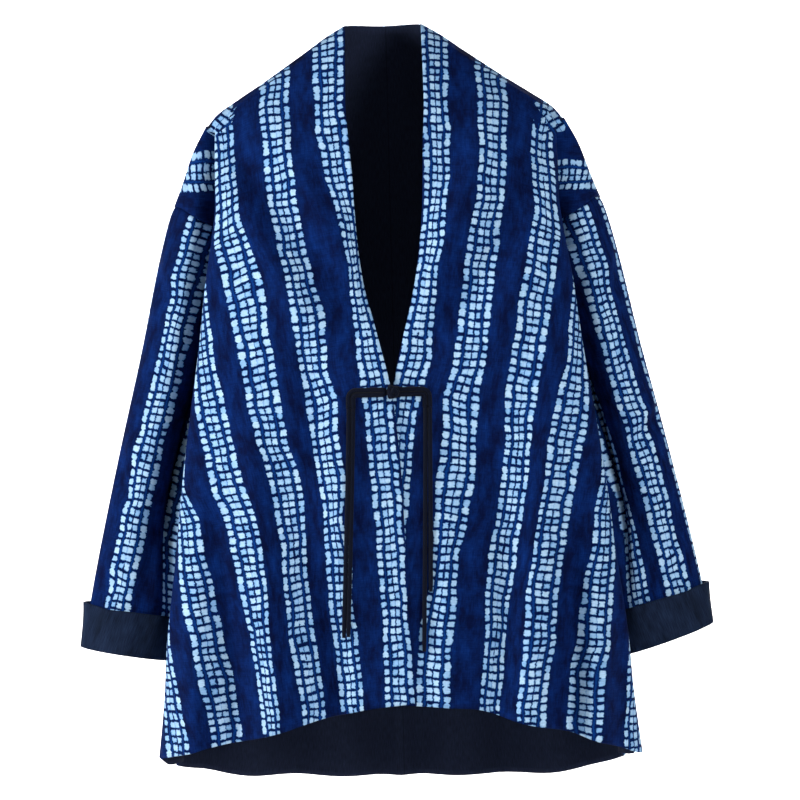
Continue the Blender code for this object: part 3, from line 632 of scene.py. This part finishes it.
def clear_of_arm(points, end_is_seam):
    """Points of a row moved out of the arm's way, less and less towards a seam on the arm itself."""
    x, y, z = points.T
    cuff = ease((CUFF_FOLD_Z + CUFF_DEPTH + 25 * MM - z) / (20 * MM))
    clear = (4 + 5 * cuff) * MM
    if end_is_seam:
        clear = clear * np.clip(np.linalg.norm(points - points[-1], axis=1) / (25 * MM), 0, 1)
    wide, deep = arm("width", z) / 2 + clear, arm("depth", z) / 2 + clear
    middle_x, middle_y = arm("outer", z) - arm("width", z) / 2, arm("middle_y", z)
    away = np.sqrt(((x - middle_x) / wide) ** 2 + ((y - middle_y) / deep) ** 2)
    push = np.where(away < 1, 1 / np.maximum(away, 0.2), 1)
    return np.stack([middle_x + (x - middle_x) * push, middle_y + (y - middle_y) * push, z], axis=1)


def resample(line, count):
    """count + 1 points spread evenly along a line."""
    length = run_along(line)
    at = np.linspace(0, length[-1], count + 1)
    return np.stack([np.interp(at, length, line[:, k]) for k in range(3)], axis=1)


# Soft creases across each front and the back, in mm: where each starts and ends, as half width and
# height, its half breadth, and how far it stands out, or in where that is negative
CREASES = {
    "right": (
        (164, -114, 40, -309, 17, -15),
        (168, -158, 76, -334, 14, 8),
        (118, -96, 62, -220, 13, 6),
        (86, -318, 74, -465, 15, -9),
        (150, -420, 124, -720, 16, 12),
        (182, -470, 170, -740, 15, -13),
        (90, -540, 66, -720, 17, -10),
        (214, -540, 212, -770, 14, 8),
        (30, -395, 26, -520, 12, 2),
    ),
    "left": (
        (164, -112, 52, -322, 17, -15),
        (112, -90, 60, -240, 13, 7),
        (170, -170, 110, -330, 15, 7),
        (166, -270, 138, -720, 19, 10),
        (98, -440, 100, -710, 17, -12),
        (180, -500, 170, -740, 13, -12),
        (50, -480, 56, -700, 15, 5),
        (206, -560, 198, -770, 13, 9),
        (232, -600, 226, -770, 12, -7),
    ),
    "back": (
        (40, -20, 120, -240, 16, -4),
        (150, -120, 70, -330, 14, -4),
        (120, -400, 104, -800, 22, 6),
        (62, -470, 52, -810, 20, -8),
        (168, -430, 158, -800, 18, -8),
        (210, -520, 206, -790, 20, 6),
        (14, -560, 20, -810, 18, 5),
    ),
}


def crease(row, x, z, last):
    """How far one crease brings the cloth outwards. It has died out at the share last of its run."""
    from_x, from_z, to_x, to_z, breadth, out = (value * MM for value in row)
    run_x, run_z = to_x - from_x, to_z - from_z
    run = math.hypot(run_x, run_z)
    share = ((x - from_x) * run_x + (z - from_z) * run_z) / run**2
    off = ((x - from_x) * run_z - (z - from_z) * run_x) / run
    fade = ease((share + 0.15) / 0.35) * ease((last - share) / 0.35)
    return out * fade * np.exp(-((off / breadth) ** 2))


EDGE_ROLL = {"right": 17 * MM, "left": 9 * MM}


def edge_roll(from_edge, z, side):
    """How far the front's edge turns back into the opening, above the frog."""
    deep = EDGE_ROLL["right" if side < 0 else "left"]
    there = ease((z + 345 * MM) / (60 * MM)) * ease((-170 * MM - z) / (60 * MM))
    return deep * there * np.clip(1 - from_edge / (20 * MM), 0, 1) ** 2


def row_across(middle_level, side_level, is_back, side):
    """The part of a row from the middle or front edge out to its widest point."""
    lip_x = "rear_x" if is_back else "lip_x"
    inner = 0.0 if is_back else NECK_HALF
    z = np.full(140, UNDERARM_Z)
    for _ in range(6):
        edge = 0.0 if is_back else read(EDGE, EDGE_COLUMNS, "left" if side > 0 else "right", z[0])
        widest = torso(lip_x, z[-1])
        x = widest * np.sin(np.linspace(math.asin(edge / widest), math.pi / 2, 140))
        across = (x - edge) / (widest - edge)
        level = middle_level + (side_level - middle_level) * across
        if side_level < 0:
            z = UNDERARM_Z - level * (hem_z(across, is_back, side) - UNDERARM_Z)
            continue
        top_x = inner + across * (torso(lip_x, SHOULDER_Z) - inner)
        top = shoulder_line(top_x)
        if is_back:
            top = np.where(top_x < NECK_HALF, 4 * MM * (1 - (top_x / NECK_HALF) ** 4), top)
        z = UNDERARM_Z + level * (top - UNDERARM_Z)
    name = "back" if is_back else "right" if side < 0 else "left"
    loose = ease((widest - x) / (12 * MM)) * ease((shoulder_line(x) - z) / (30 * MM))
    folds = sum(crease(row, x, z, 1.2) for row in CREASES[name])
    y = panel_y(x, z, is_back) + (1 if is_back else -1) * folds * loose
    if not is_back:
        y = y - (lap(x, z) if side < 0 else 0) + edge_roll(x - edge, z, side)
    return np.stack([x, y, z], axis=1)


def row_of(ends, is_back, side, count):
    """One row of a panel, from the middle or front edge to its side seam, armhole or crease."""
    middle_level, side_level, turn = ends
    facing = 1 if is_back else -1
    drop = UNDERARM_Z - SIDE_HEM_Z if side_level < 0 else SHOULDER_Z - UNDERARM_Z
    side_z = UNDERARM_Z + side_level * drop
    line = row_across(middle_level, side_level, is_back, side)
    if turn is None:
        end = np.array([torso("side_x", side_z), torso("side_y", side_z), side_z])
        inwards = np.array([0.0, -facing, 0.0])
    else:
        end = arm_cloth(turn, side_z, facing)
        inwards = arm_point(turn - 2, side_z, facing) - arm_point(turn, side_z, facing)
        inwards = 0.75 * inwards / np.linalg.norm(inwards) + np.array([0, -0.45 * facing, 0])
        inwards = inwards / np.linalg.norm(inwards)
    lip = line[-1]
    far = np.linalg.norm(end[:2] - lip[:2])
    handle = far * 0.45 * (1 if turn is None else min(1, rounding(lip[0], lip[2])))
    leave = lip + np.array([0, -facing * min(handle, 15 * MM), 0])
    arrive = end - handle * inwards
    t = np.linspace(0, 1, 40)[1:, None]
    curl = (1 - t) ** 3 * lip + 3 * (1 - t) ** 2 * t * leave + 3 * (1 - t) * t * t * arrive + t**3 * end
    points = np.concatenate([line, curl])
    if turn is None or turn < CORNER_TURN:
        points = clear_of_arm(points, turn is not None)
    return resample(points, count)


def half_panel(is_back, side, columns):
    """The grid of one half of the body and that of its cap over the arm, which meet on the crease."""
    facing = 1 if is_back else -1
    rows = [(k / LOWER_ROWS, k / LOWER_ROWS, None) for k in range(-LOWER_ROWS, 0)]
    ends = [(float(armhole_z(turn)), turn) for turn in np.linspace(0, CORNER_TURN, ARMHOLE_ROWS)]
    corner_z = ends[-1][0]
    for k in range(1, CAP_ROWS + 1):
        z = corner_z + (SHOULDER_Z - corner_z) * k / CAP_ROWS
        ends.append((z, float(crease_turn(z))))
    for k, (z, turn) in enumerate(ends):
        rows.append((k / (len(ends) - 1), (z - UNDERARM_Z) / (SHOULDER_Z - UNDERARM_Z), turn))
    grid = np.array([row_of(row, is_back, side, columns) for row in rows])
    share = np.linspace(0, 1, CAP_COLUMNS + 1)
    seam_z = armhole_z(CORNER_TURN + (180 - CORNER_TURN) * share)
    cap = []
    for z in grid[LOWER_ROWS + ARMHOLE_ROWS - 1 :, -1, 2]:
        turn = crease_turn(z) + (180 - crease_turn(z)) * share
        fall = (z - SHOULDER_Z) / (armhole_z(CORNER_TURN) - SHOULDER_Z)
        cap.append(arm_cloth(turn, SHOULDER_Z + (seam_z - SHOULDER_Z) * fall, facing))
    return grid, np.array(cap)


def lengths(points, axis):
    """Distances run along a grid's rows (axis 1) or columns (axis 0), from its first point."""
    step = np.linalg.norm(np.diff(points, axis=axis), axis=2)
    first = np.zeros((step.shape[0], 1)) if axis == 1 else np.zeros((1, step.shape[1]))
    return np.concatenate([first, np.cumsum(step, axis=axis)], axis=axis)


def seen_flat(points):
    """Half width and height at which the camera sees points, brought to the depth of the side seams."""
    near = 1 + points[..., 1] / -CAMERA_AT[1]
    x = CAMERA_AT[0] + (points[..., 0] - CAMERA_AT[0]) / near
    return x, CAMERA_AT[2] + (points[..., 2] - CAMERA_AT[2]) / near


TIGHTEST, LOOSEST = 0.55, 1.9  # how much longer than its cut the cloth may run across


def across_cloth(points, wanted):
    """Places across the cut cloth along each row: as wanted, but nowhere stretched or squeezed too far,
    and just as the cloth runs past the row's widest point."""
    step = np.linalg.norm(np.diff(points, axis=1), axis=2)
    widest = np.argmax(np.abs(points[..., 0]), axis=1)
    place = [wanted[:, 0]]
    for k in range(step.shape[1]):
        last = place[-1]
        led = np.clip(wanted[:, k + 1], last + step[:, k] / LOOSEST, last + step[:, k] / TIGHTEST)
        place.append(np.where(k < widest, led, last + step[:, k]))
    return np.stack(place, axis=1)


def stripe_place(points, name):
    """Where in the cut cloth, across it, the stripes say that a front's points are."""
    side = -1 if name == "right" else 1
    x, z = seen_flat(points)
    x = x * side
    rows = np.array(STRIPES[name], float) * MM
    edges = [smooth(rows[:, 0], rows[:, k], z) for k in range(1, rows.shape[1])]
    places = np.array(STRIPE_EDGES) * MM
    place = places[0] + (x - edges[0])
    for k in range(len(edges) - 1):
        share = (x - edges[k]) / (edges[k + 1] - edges[k])
        place = np.where(x > edges[k], places[k] + share * (places[k + 1] - places[k]), place)
    return np.where(x > edges[-1], places[-1] + (x - edges[-1]), place)


def cloth_piece(name, grids, thick, outside, inside):
    """A thin cloth shell from grids of points with their places u and v in the cut cloth, given its
    thickness inwards. A grid may be flipped and may close on itself."""
    work = bmesh.new()
    layer = work.loops.layers.uv.new("cut")
    for points, u, v, flip, closed in grids:
        rows, columns = points.shape[:2]
        verts = [[work.verts.new(points[i, j]) for j in range(columns)] for i in range(rows)]
        for i in range(rows - 1):
            for j in range(columns if closed else columns - 1):
                k = (j + 1) % columns
                quad = [(i, j), (i, k), (i + 1, k), (i + 1, j)]
                if flip:
                    quad.reverse()
                face = work.faces.new([verts[a][b] for a, b in quad])
                face.smooth = True
                for loop, (a, b) in zip(face.loops, quad):
                    place = columns if closed and k == 0 and b == 0 else b
                    loop[layer].uv = (u[a, place], v[a, place])
    bmesh.ops.remove_doubles(work, verts=work.verts, dist=0.02 * MM)
    bmesh.ops.dissolve_degenerate(work, edges=work.edges, dist=0.005 * MM)
    mesh = bpy.data.meshes.new(name)
    work.to_mesh(mesh)
    work.free()
    mesh.materials.append(outside)
    mesh.materials.append(inside)
    piece = placed(name, mesh)
    wall = piece.modifiers.new("cloth", "SOLIDIFY")
    wall.thickness = thick
    wall.offset = -1
    wall.material_offset = 1
    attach(piece, "root")
    return piece


def mirror(grid, side):
    return grid * np.array([side, 1, 1])


def along_cloth(points):
    """Places along the cut cloth, from the underarm row, kept even as seen from the front where the cloth
    leans back to the shoulder."""
    step = np.linalg.norm(np.diff(points, axis=0), axis=2)
    step = np.maximum(np.abs(np.diff(points[..., 2], axis=0)), step / 1.5)
    run = np.concatenate([0 * step[:1], np.cumsum(step, axis=0)])
    return run[LOWER_ROWS : LOWER_ROWS + 1] - run


def slanted_stripe(front, name):
    """At the shoulder's corner the arm tucks the cloth, and the third stripe starts again aslant."""
    middle_x, middle_z, slope, lowest, start, stop = CORNER_STRIPE[name]
    down, out = math.sin(math.radians(slope)), math.cos(math.radians(slope))
    layer = front.data.uv_layers["cut"].data
    seen_x, seen_z = seen_flat(np.array([vertex.co for vertex in front.data.vertices]))
    x, z = np.abs(seen_x) - middle_x * MM, seen_z - middle_z * MM
    across, along = x * down + z * out, x * out - z * down
    is_there = (across > lowest * MM) & (along > start * MM) & (along < stop * MM)
    is_there = is_there & ((across > -8 * MM) | (along > 0))
    is_plain = ~is_there & (across > -22 * MM) & (along < 2 * MM) & (np.abs(seen_x) > 150 * MM)
    plain_u = THIRD_STRIPE - STRIPE_REPEAT * MM / 2 + 0.4 * across
    for is_in, u in ((is_there, THIRD_STRIPE + across), (is_plain, plain_u)):
        for face in front.data.polygons:
            if face.center.y <= 0 and all(is_in[k] for k in face.vertices):
                for loop, k in zip(face.loop_indices, face.vertices):
                    layer[loop].uv = (u[k], along[k])


FRONT_CLOTH = 2.0 * MM
THIRD_STRIPE = 133.9 * MM
CORNER_STRIPE = {"right": (167, -92, 46, -9, -17, 26), "left": (177, -103, 58, -15, -17, 18)}
FIFTH_STRIPE = 252.9 * MM
CAP_STRIPE = {"right": (-149.5 * MM, 1.39), "left": (-162 * MM, 1.03)}  # its height, and how drawn out
for name, side in SIDES:
    panel, cap = half_panel(False, side, FRONT_COLUMNS)
    panel, cap = mirror(panel, side), mirror(cap, side)
    lean = smooth([row[0] * MM for row in STRIPE_LEAN], [row[1] for row in STRIPE_LEAN], panel[..., 2])
    panel_u = across_cloth(panel, stripe_place(panel, name))
    panel_v = along_cloth(panel) - lean * np.abs(panel[..., 0])
    # On the part over the arm the next stripe goes round the arm, level, a little above the drop seam
    seen_x, seen_z = seen_flat(cap)
    stripe_z, drawn_out = CAP_STRIPE[name]
    cap_u = np.maximum(FIFTH_STRIPE + (stripe_z - seen_z) / drawn_out, FIFTH_STRIPE - 41 * MM)
    cap_v = 0.7 * np.abs(seen_x) + 0.3 * lengths(cap, 1)
    grids = [(panel, panel_u, panel_v, side < 0, False), (cap, cap_u, cap_v, side < 0, False)]
    front = cloth_piece(f"front_{name}_cloth", grids, FRONT_CLOTH, printed, lining)
    slanted_stripe(front, name)
    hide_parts(f"front_{name}")

# Back
# One panel of the same cloth, cut on the straight thread, with its lining a separate layer that shows in
# the neck and below the front hem.
BACK_COLUMNS = 72
back, cap = half_panel(True, 1, BACK_COLUMNS)
whole = np.concatenate([mirror(back[:, :0:-1], -1), back], axis=1)
# The hem hangs a little higher on the wearer's right
HEM_RAISED = 4.5 * MM
low = np.clip((UNDERARM_Z - whole[..., 2]) / (UNDERARM_Z - BACK_HEM_Z), 0, 1)
on_right = ease(-whole[..., 0] / (150 * MM)) * ease((250 * MM + whole[..., 0]) / (40 * MM))
whole[..., 2] += HEM_RAISED * low * on_right
place = lengths(back, 1)
run = lengths(whole, 0)
run = run[LOWER_ROWS : LOWER_ROWS + 1] - run
whole_u = np.concatenate([-place[:, :0:-1], place], axis=1)
start = LOWER_ROWS + ARMHOLE_ROWS - 1
cap_u = place[start:, -1:] + lengths(cap, 1)
cap_v = np.repeat(run[start:, -1:], cap.shape[1], axis=1)
grids = [
    (whole, whole_u, run, True, False),
    (cap, cap_u, cap_v, True, False),
    (mirror(cap, -1), -cap_u, cap_v, False, False),
]
back_piece = cloth_piece("back_cloth", grids, 1.2 * MM, printed, lining)
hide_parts("back")
back_lining = cloth_piece("back_lining_cloth", grids, 1.0 * MM, lining, lining)
settle = back_lining.modifiers.new("inside the back", "DISPLACE")
settle.strength = -1.55 * MM
settle.mid_level = 0
back_lining.modifiers.move(1, 0)
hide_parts("back_lining")

# Sleeves
# Each sleeve is one tapered tube, set in at the drop seam half way down the upper arm, its stripes
# along it.
SLEEVE_ROWS, SLEEVE_COLUMNS = 110, 120
# The grid column along which a stripe's outer edge runs, distances round the sleeve from there to the
# front, and the places in the stripes that are there: folds take up some of the cloth between them
SLEEVE_STRIPES = {
    "right": (44, ((-250, -243), (-50, -33), (0, 0), (31, 29.5), (66, 59.5), (250, 243.5))),
    "left": (45, ((-250, -246), (-46, -42), (-23, -30), (0, 0), (31, 29.5), (49, 59.5), (250, 260.5))),
}
CUFF_FOLD = {"right": (-655.5 * MM, 9 * MM, 0), "left": (-654 * MM, 17 * MM, 4 * MM)}


def fold_z(turn, name):
    """Height of the fold at the sleeve's end."""
    middle, tilt, _ = CUFF_FOLD[name]
    return middle - tilt * np.cos(np.radians(turn))


def round_arm(name, top_of, extra, rows, swell):
    """Rows down the arm from top_of(turn) to the fold and extra further, each once round from the
    underarm by way of the front, moved out by swell(turn, facing, z, how far below its top)."""
    grid = []
    for share in np.linspace(0, 1, rows + 1):
        row = []
        for k in range(SLEEVE_COLUMNS):
            turn = 360 * k / SLEEVE_COLUMNS
            facing = -1 if turn <= 180 else 1
            turn = min(turn, 360 - turn)
            z = top_of(turn) + (fold_z(turn, name) - extra - top_of(turn)) * share
            point = arm_cloth(turn, z, facing)
            out = np.array([-np.cos(np.radians(turn)), facing * np.sin(np.radians(turn)), 0])
            row.append(point + out * swell(turn, facing, z, top_of(turn) - z))
        grid.append(row)
    return np.array(grid)


# Soft creases of a sleeve: turn and height where each starts and ends, half breadth in mm, and how far
# it stands out in mm. Turns past 180 are behind.
SLEEVE_CREASES = {
    "right": (
        (178, -232, 120, -262, 9, 2.5), (170, -262, 112, -300, 10, -3), (150, -430, 96, -470, 10, 3),
        (172, -452, 120, -500, 9, -3), (110, -560, 160, -630, 12, -2.5), (200, -420, 290, -470, 12, 4),
        (210, -460, 300, -500, 12, -4), (250, -250, 330, -330, 14, -4),
    ),
    "left": (
        (176, -226, 116, -268, 9, 2.5), (172, -256, 110, -312, 10, -3), (166, -398, 112, -424, 7, 4),
        (170, -414, 108, -446, 8, -4), (150, -520, 100, -600, 12, -3), (200, -430, 290, -466, 12, 4),
        (210, -466, 300, -512, 12, -4), (240, -260, 330, -320, 14, -4),
    ),
}


def sleeve_folds(turn, facing, z, below):
    """The drop seam's groove with its small puckers, and the slack of the cloth at the elbow."""
    round_turn = turn if facing < 0 else 360 - turn
    pucker = 0.6 * MM * math.sin(round_turn * 0.9) * math.exp(-below / (16 * MM))
    total = -1.6 * MM * math.exp(-below / (4 * MM)) + pucker
    folds = sum(crease(row, round_turn * MM, z, 1.15) for row in SLEEVE_CREASES[name])
    return total + folds * ease((abs(round_turn - 180) - 14) / 26)  # the outer line stays smooth


for name, side in SIDES:
    sleeve = mirror(round_arm(name, armhole_z, 0, SLEEVE_ROWS, sleeve_folds), side)
    wrapped = np.concatenate([sleeve, sleeve[:, :1]], axis=1)
    # The cloth's own places, as they lie on the arm before the folds
    turns = 360 * np.arange(SLEEVE_COLUMNS + 1) / SLEEVE_COLUMNS
    z = wrapped[..., 2]
    smooth_arm = arm_point(np.minimum(turns, 360 - turns), z, np.where(turns <= 180, -1, 1))
    place = lengths(smooth_arm, 1)
    edge_column, spread = SLEEVE_STRIPES[name]
    arc = place[:, edge_column, None] - place
    from_edge, in_stripes = np.array(spread).T * MM
    u = np.interp(arc, from_edge, in_stripes) + STRIPE_REPEAT * MM * 10
    outer_column = SLEEVE_COLUMNS // 2
    v = lengths(smooth_arm, 0)[:, outer_column, None] + (z[:, outer_column, None] - z)
    v = v + 0.24 * (np.abs(wrapped[..., 0]) - arm("outer", z))
    grid = (sleeve, u, v, side > 0, True)
    piece = cloth_piece(f"sleeve_{name}_cloth", [grid], FRONT_CLOTH, printed, lining)
    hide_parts(f"sleeve_{name}")

# Cuffs
# The ends of the sleeves turned up once, so that the plain lining side shows: a soft fold at the end
# and a free top edge that stands a little off the sleeve. The piece-dyed cotton is creased and rubbed
# there, which shows as slow changes of tone between its threads.
cuff_cloth, tree, shader = new_material("piece_dyed_cuff_cotton", 0.9, 0.0)
cut = node("UVMap", uv_map="cut")
threads = node("VectorMath", (cut, (1100, 90, 1)), "MULTIPLY")
threads = node("TexNoise", {"Vector": threads, "Scale": 1, "Detail": 3})
slow = node("VectorMath", (cut, (60, 14, 1)), "MULTIPLY")
slow = node("TexNoise", {"Vector": slow, "Scale": 1, "Detail": 2})
tone = node("Math", (threads, slow), "MULTIPLY")
tone = node("MapRange", {0: tone, 1: 0.1, 2: 0.42})
colour = node("Mix", {0: tone, 6: linear("#0b121e"), 7: linear("#1f2c46")}, out=2, data_type="RGBA")
finish(colour, threads, 0.4, 0.4 * MM)
CUFF_CLOTH = 2.2 * MM


def cuff_top(turn):
    """Height of the cuff's free top edge, which isn't quite even."""
    uneven = math.sin(math.radians(2.2 * turn + 40)) + 0.6 * math.sin(math.radians(5 * turn))
    narrower = CUFF_FOLD[name][2] * (turn / 180) ** 2
    return fold_z(turn, name) + CUFF_DEPTH - narrower + 0.9 * MM * uneven


def cuff_swell(turn, facing, z, below):
    """Out over the sleeve, more at the free top edge, with soft folds that die out towards the end."""
    up = 1 - below / (CUFF_DEPTH + 1 * MM)
    round_turn = turn if facing < 0 else 360 - turn
    folds = 1.1 * math.sin(math.radians(7 * round_turn))
    folds += 0.8 * math.sin(math.radians(12 * round_turn + 60))
    ear = 2.2 * math.exp(-(((round_turn - 172) / 14) ** 2)) * up**2
    return 0.35 * MM + CUFF_CLOTH + MM * up * (2.6 + folds + ear) + 0.5 * MM * folds * (1 - up) * up


for name, side in SIDES:
    cuff = mirror(round_arm(name, cuff_top, 1 * MM, 18, cuff_swell), side)
    wrapped = np.concatenate([cuff, cuff[:, :1]], axis=1)
    grid = (cuff, lengths(wrapped, 1), -wrapped[..., 2], side > 0, True)
    piece = cloth_piece(f"cuff_{name}_cloth", [grid], CUFF_CLOTH, cuff_cloth, cuff_cloth)
    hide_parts(f"cuff_{name}")

# Stage
# A pale studio floor, as far below the neck as a wearer's shoulders are high, that curves up into a
# backdrop far enough behind to walk round the jacket, between large soft lights on both sides.
FLOOR_Z = -1400 * MM
FLOOR_HALF, FLOOR_END, BEND, BACKDROP_HIGH = 7.0, 5.2, 1.2, 4.0
profile = [(-FLOOR_HALF, 0), (FLOOR_END, 0)]
for a in np.radians(np.linspace(6, 90, 15)):
    profile.append((FLOOR_END + BEND * math.sin(a), BEND - BEND * math.cos(a)))
profile.append((FLOOR_END + BEND, BACKDROP_HIGH))
mesh = bpy.data.meshes.new("backdrop")
points = [(x, y, FLOOR_Z + z) for y, z in profile for x in (-FLOOR_HALF, FLOOR_HALF)]
faces = [(2 * k, 2 * k + 1, 2 * k + 3, 2 * k + 2) for k in range(len(profile) - 1)]
mesh.from_pydata(points, [], faces)
mesh.polygons.foreach_set("use_smooth", [True] * len(faces))
paper, tree, shader = new_material("matt_background_paper", 0.95, 0.0)
grain = node("TexNoise", {"Scale": 60, "Detail": 2})
colour = node("Mix", {0: grain, 6: linear("#f6f6f6"), 7: linear("#fbfbfb")}, out=2, data_type="RGBA")
tree.links.new(colour, shader.inputs["Base Color"])
mesh.materials.append(paper)
backdrop = placed("backdrop", mesh)

world = bpy.data.worlds.new("studio")
world.use_nodes = True
world.node_tree.nodes["Background"].inputs["Color"].default_value = (1, 1, 1, 1)
world.node_tree.nodes["Background"].inputs["Strength"].default_value = 0.12
bpy.context.scene.world = world
JACKET = (0, 0, -0.4)
LIGHTS = (
    ("left", (-2.1, -0.75, 0.0), JACKET, 1.1, 59),
    ("right", (1.7, -2.7, 0.3), JACKET, 1.2, 71),
    ("above", (0, -1.4, 2.2), JACKET, 1.8, 17),
    ("behind", (0.8, 3.3, 0.0), JACKET, 1.6, 75),
    ("backdrop_left", (-2.8, 4.0, 0.8), (-0.4, 6.4, -0.8), 1.6, 260),
    ("backdrop_right", (2.8, 4.0, 0.8), (0.4, 6.4, -0.8), 1.6, 260),
)
for name, at, towards, size, power in LIGHTS:
    light = placed("softbox_" + name, bpy.data.lights.new("softbox_" + name, "AREA"))
    light.data.size = size
    light.data.energy = power
    light.location = at
    aim = np.array(towards) - np.array(at)
    light.rotation_euler = (math.atan2(math.hypot(aim[0], aim[1]), -aim[2]), 0,
                            math.atan2(aim[1], aim[0]) - math.pi / 2)
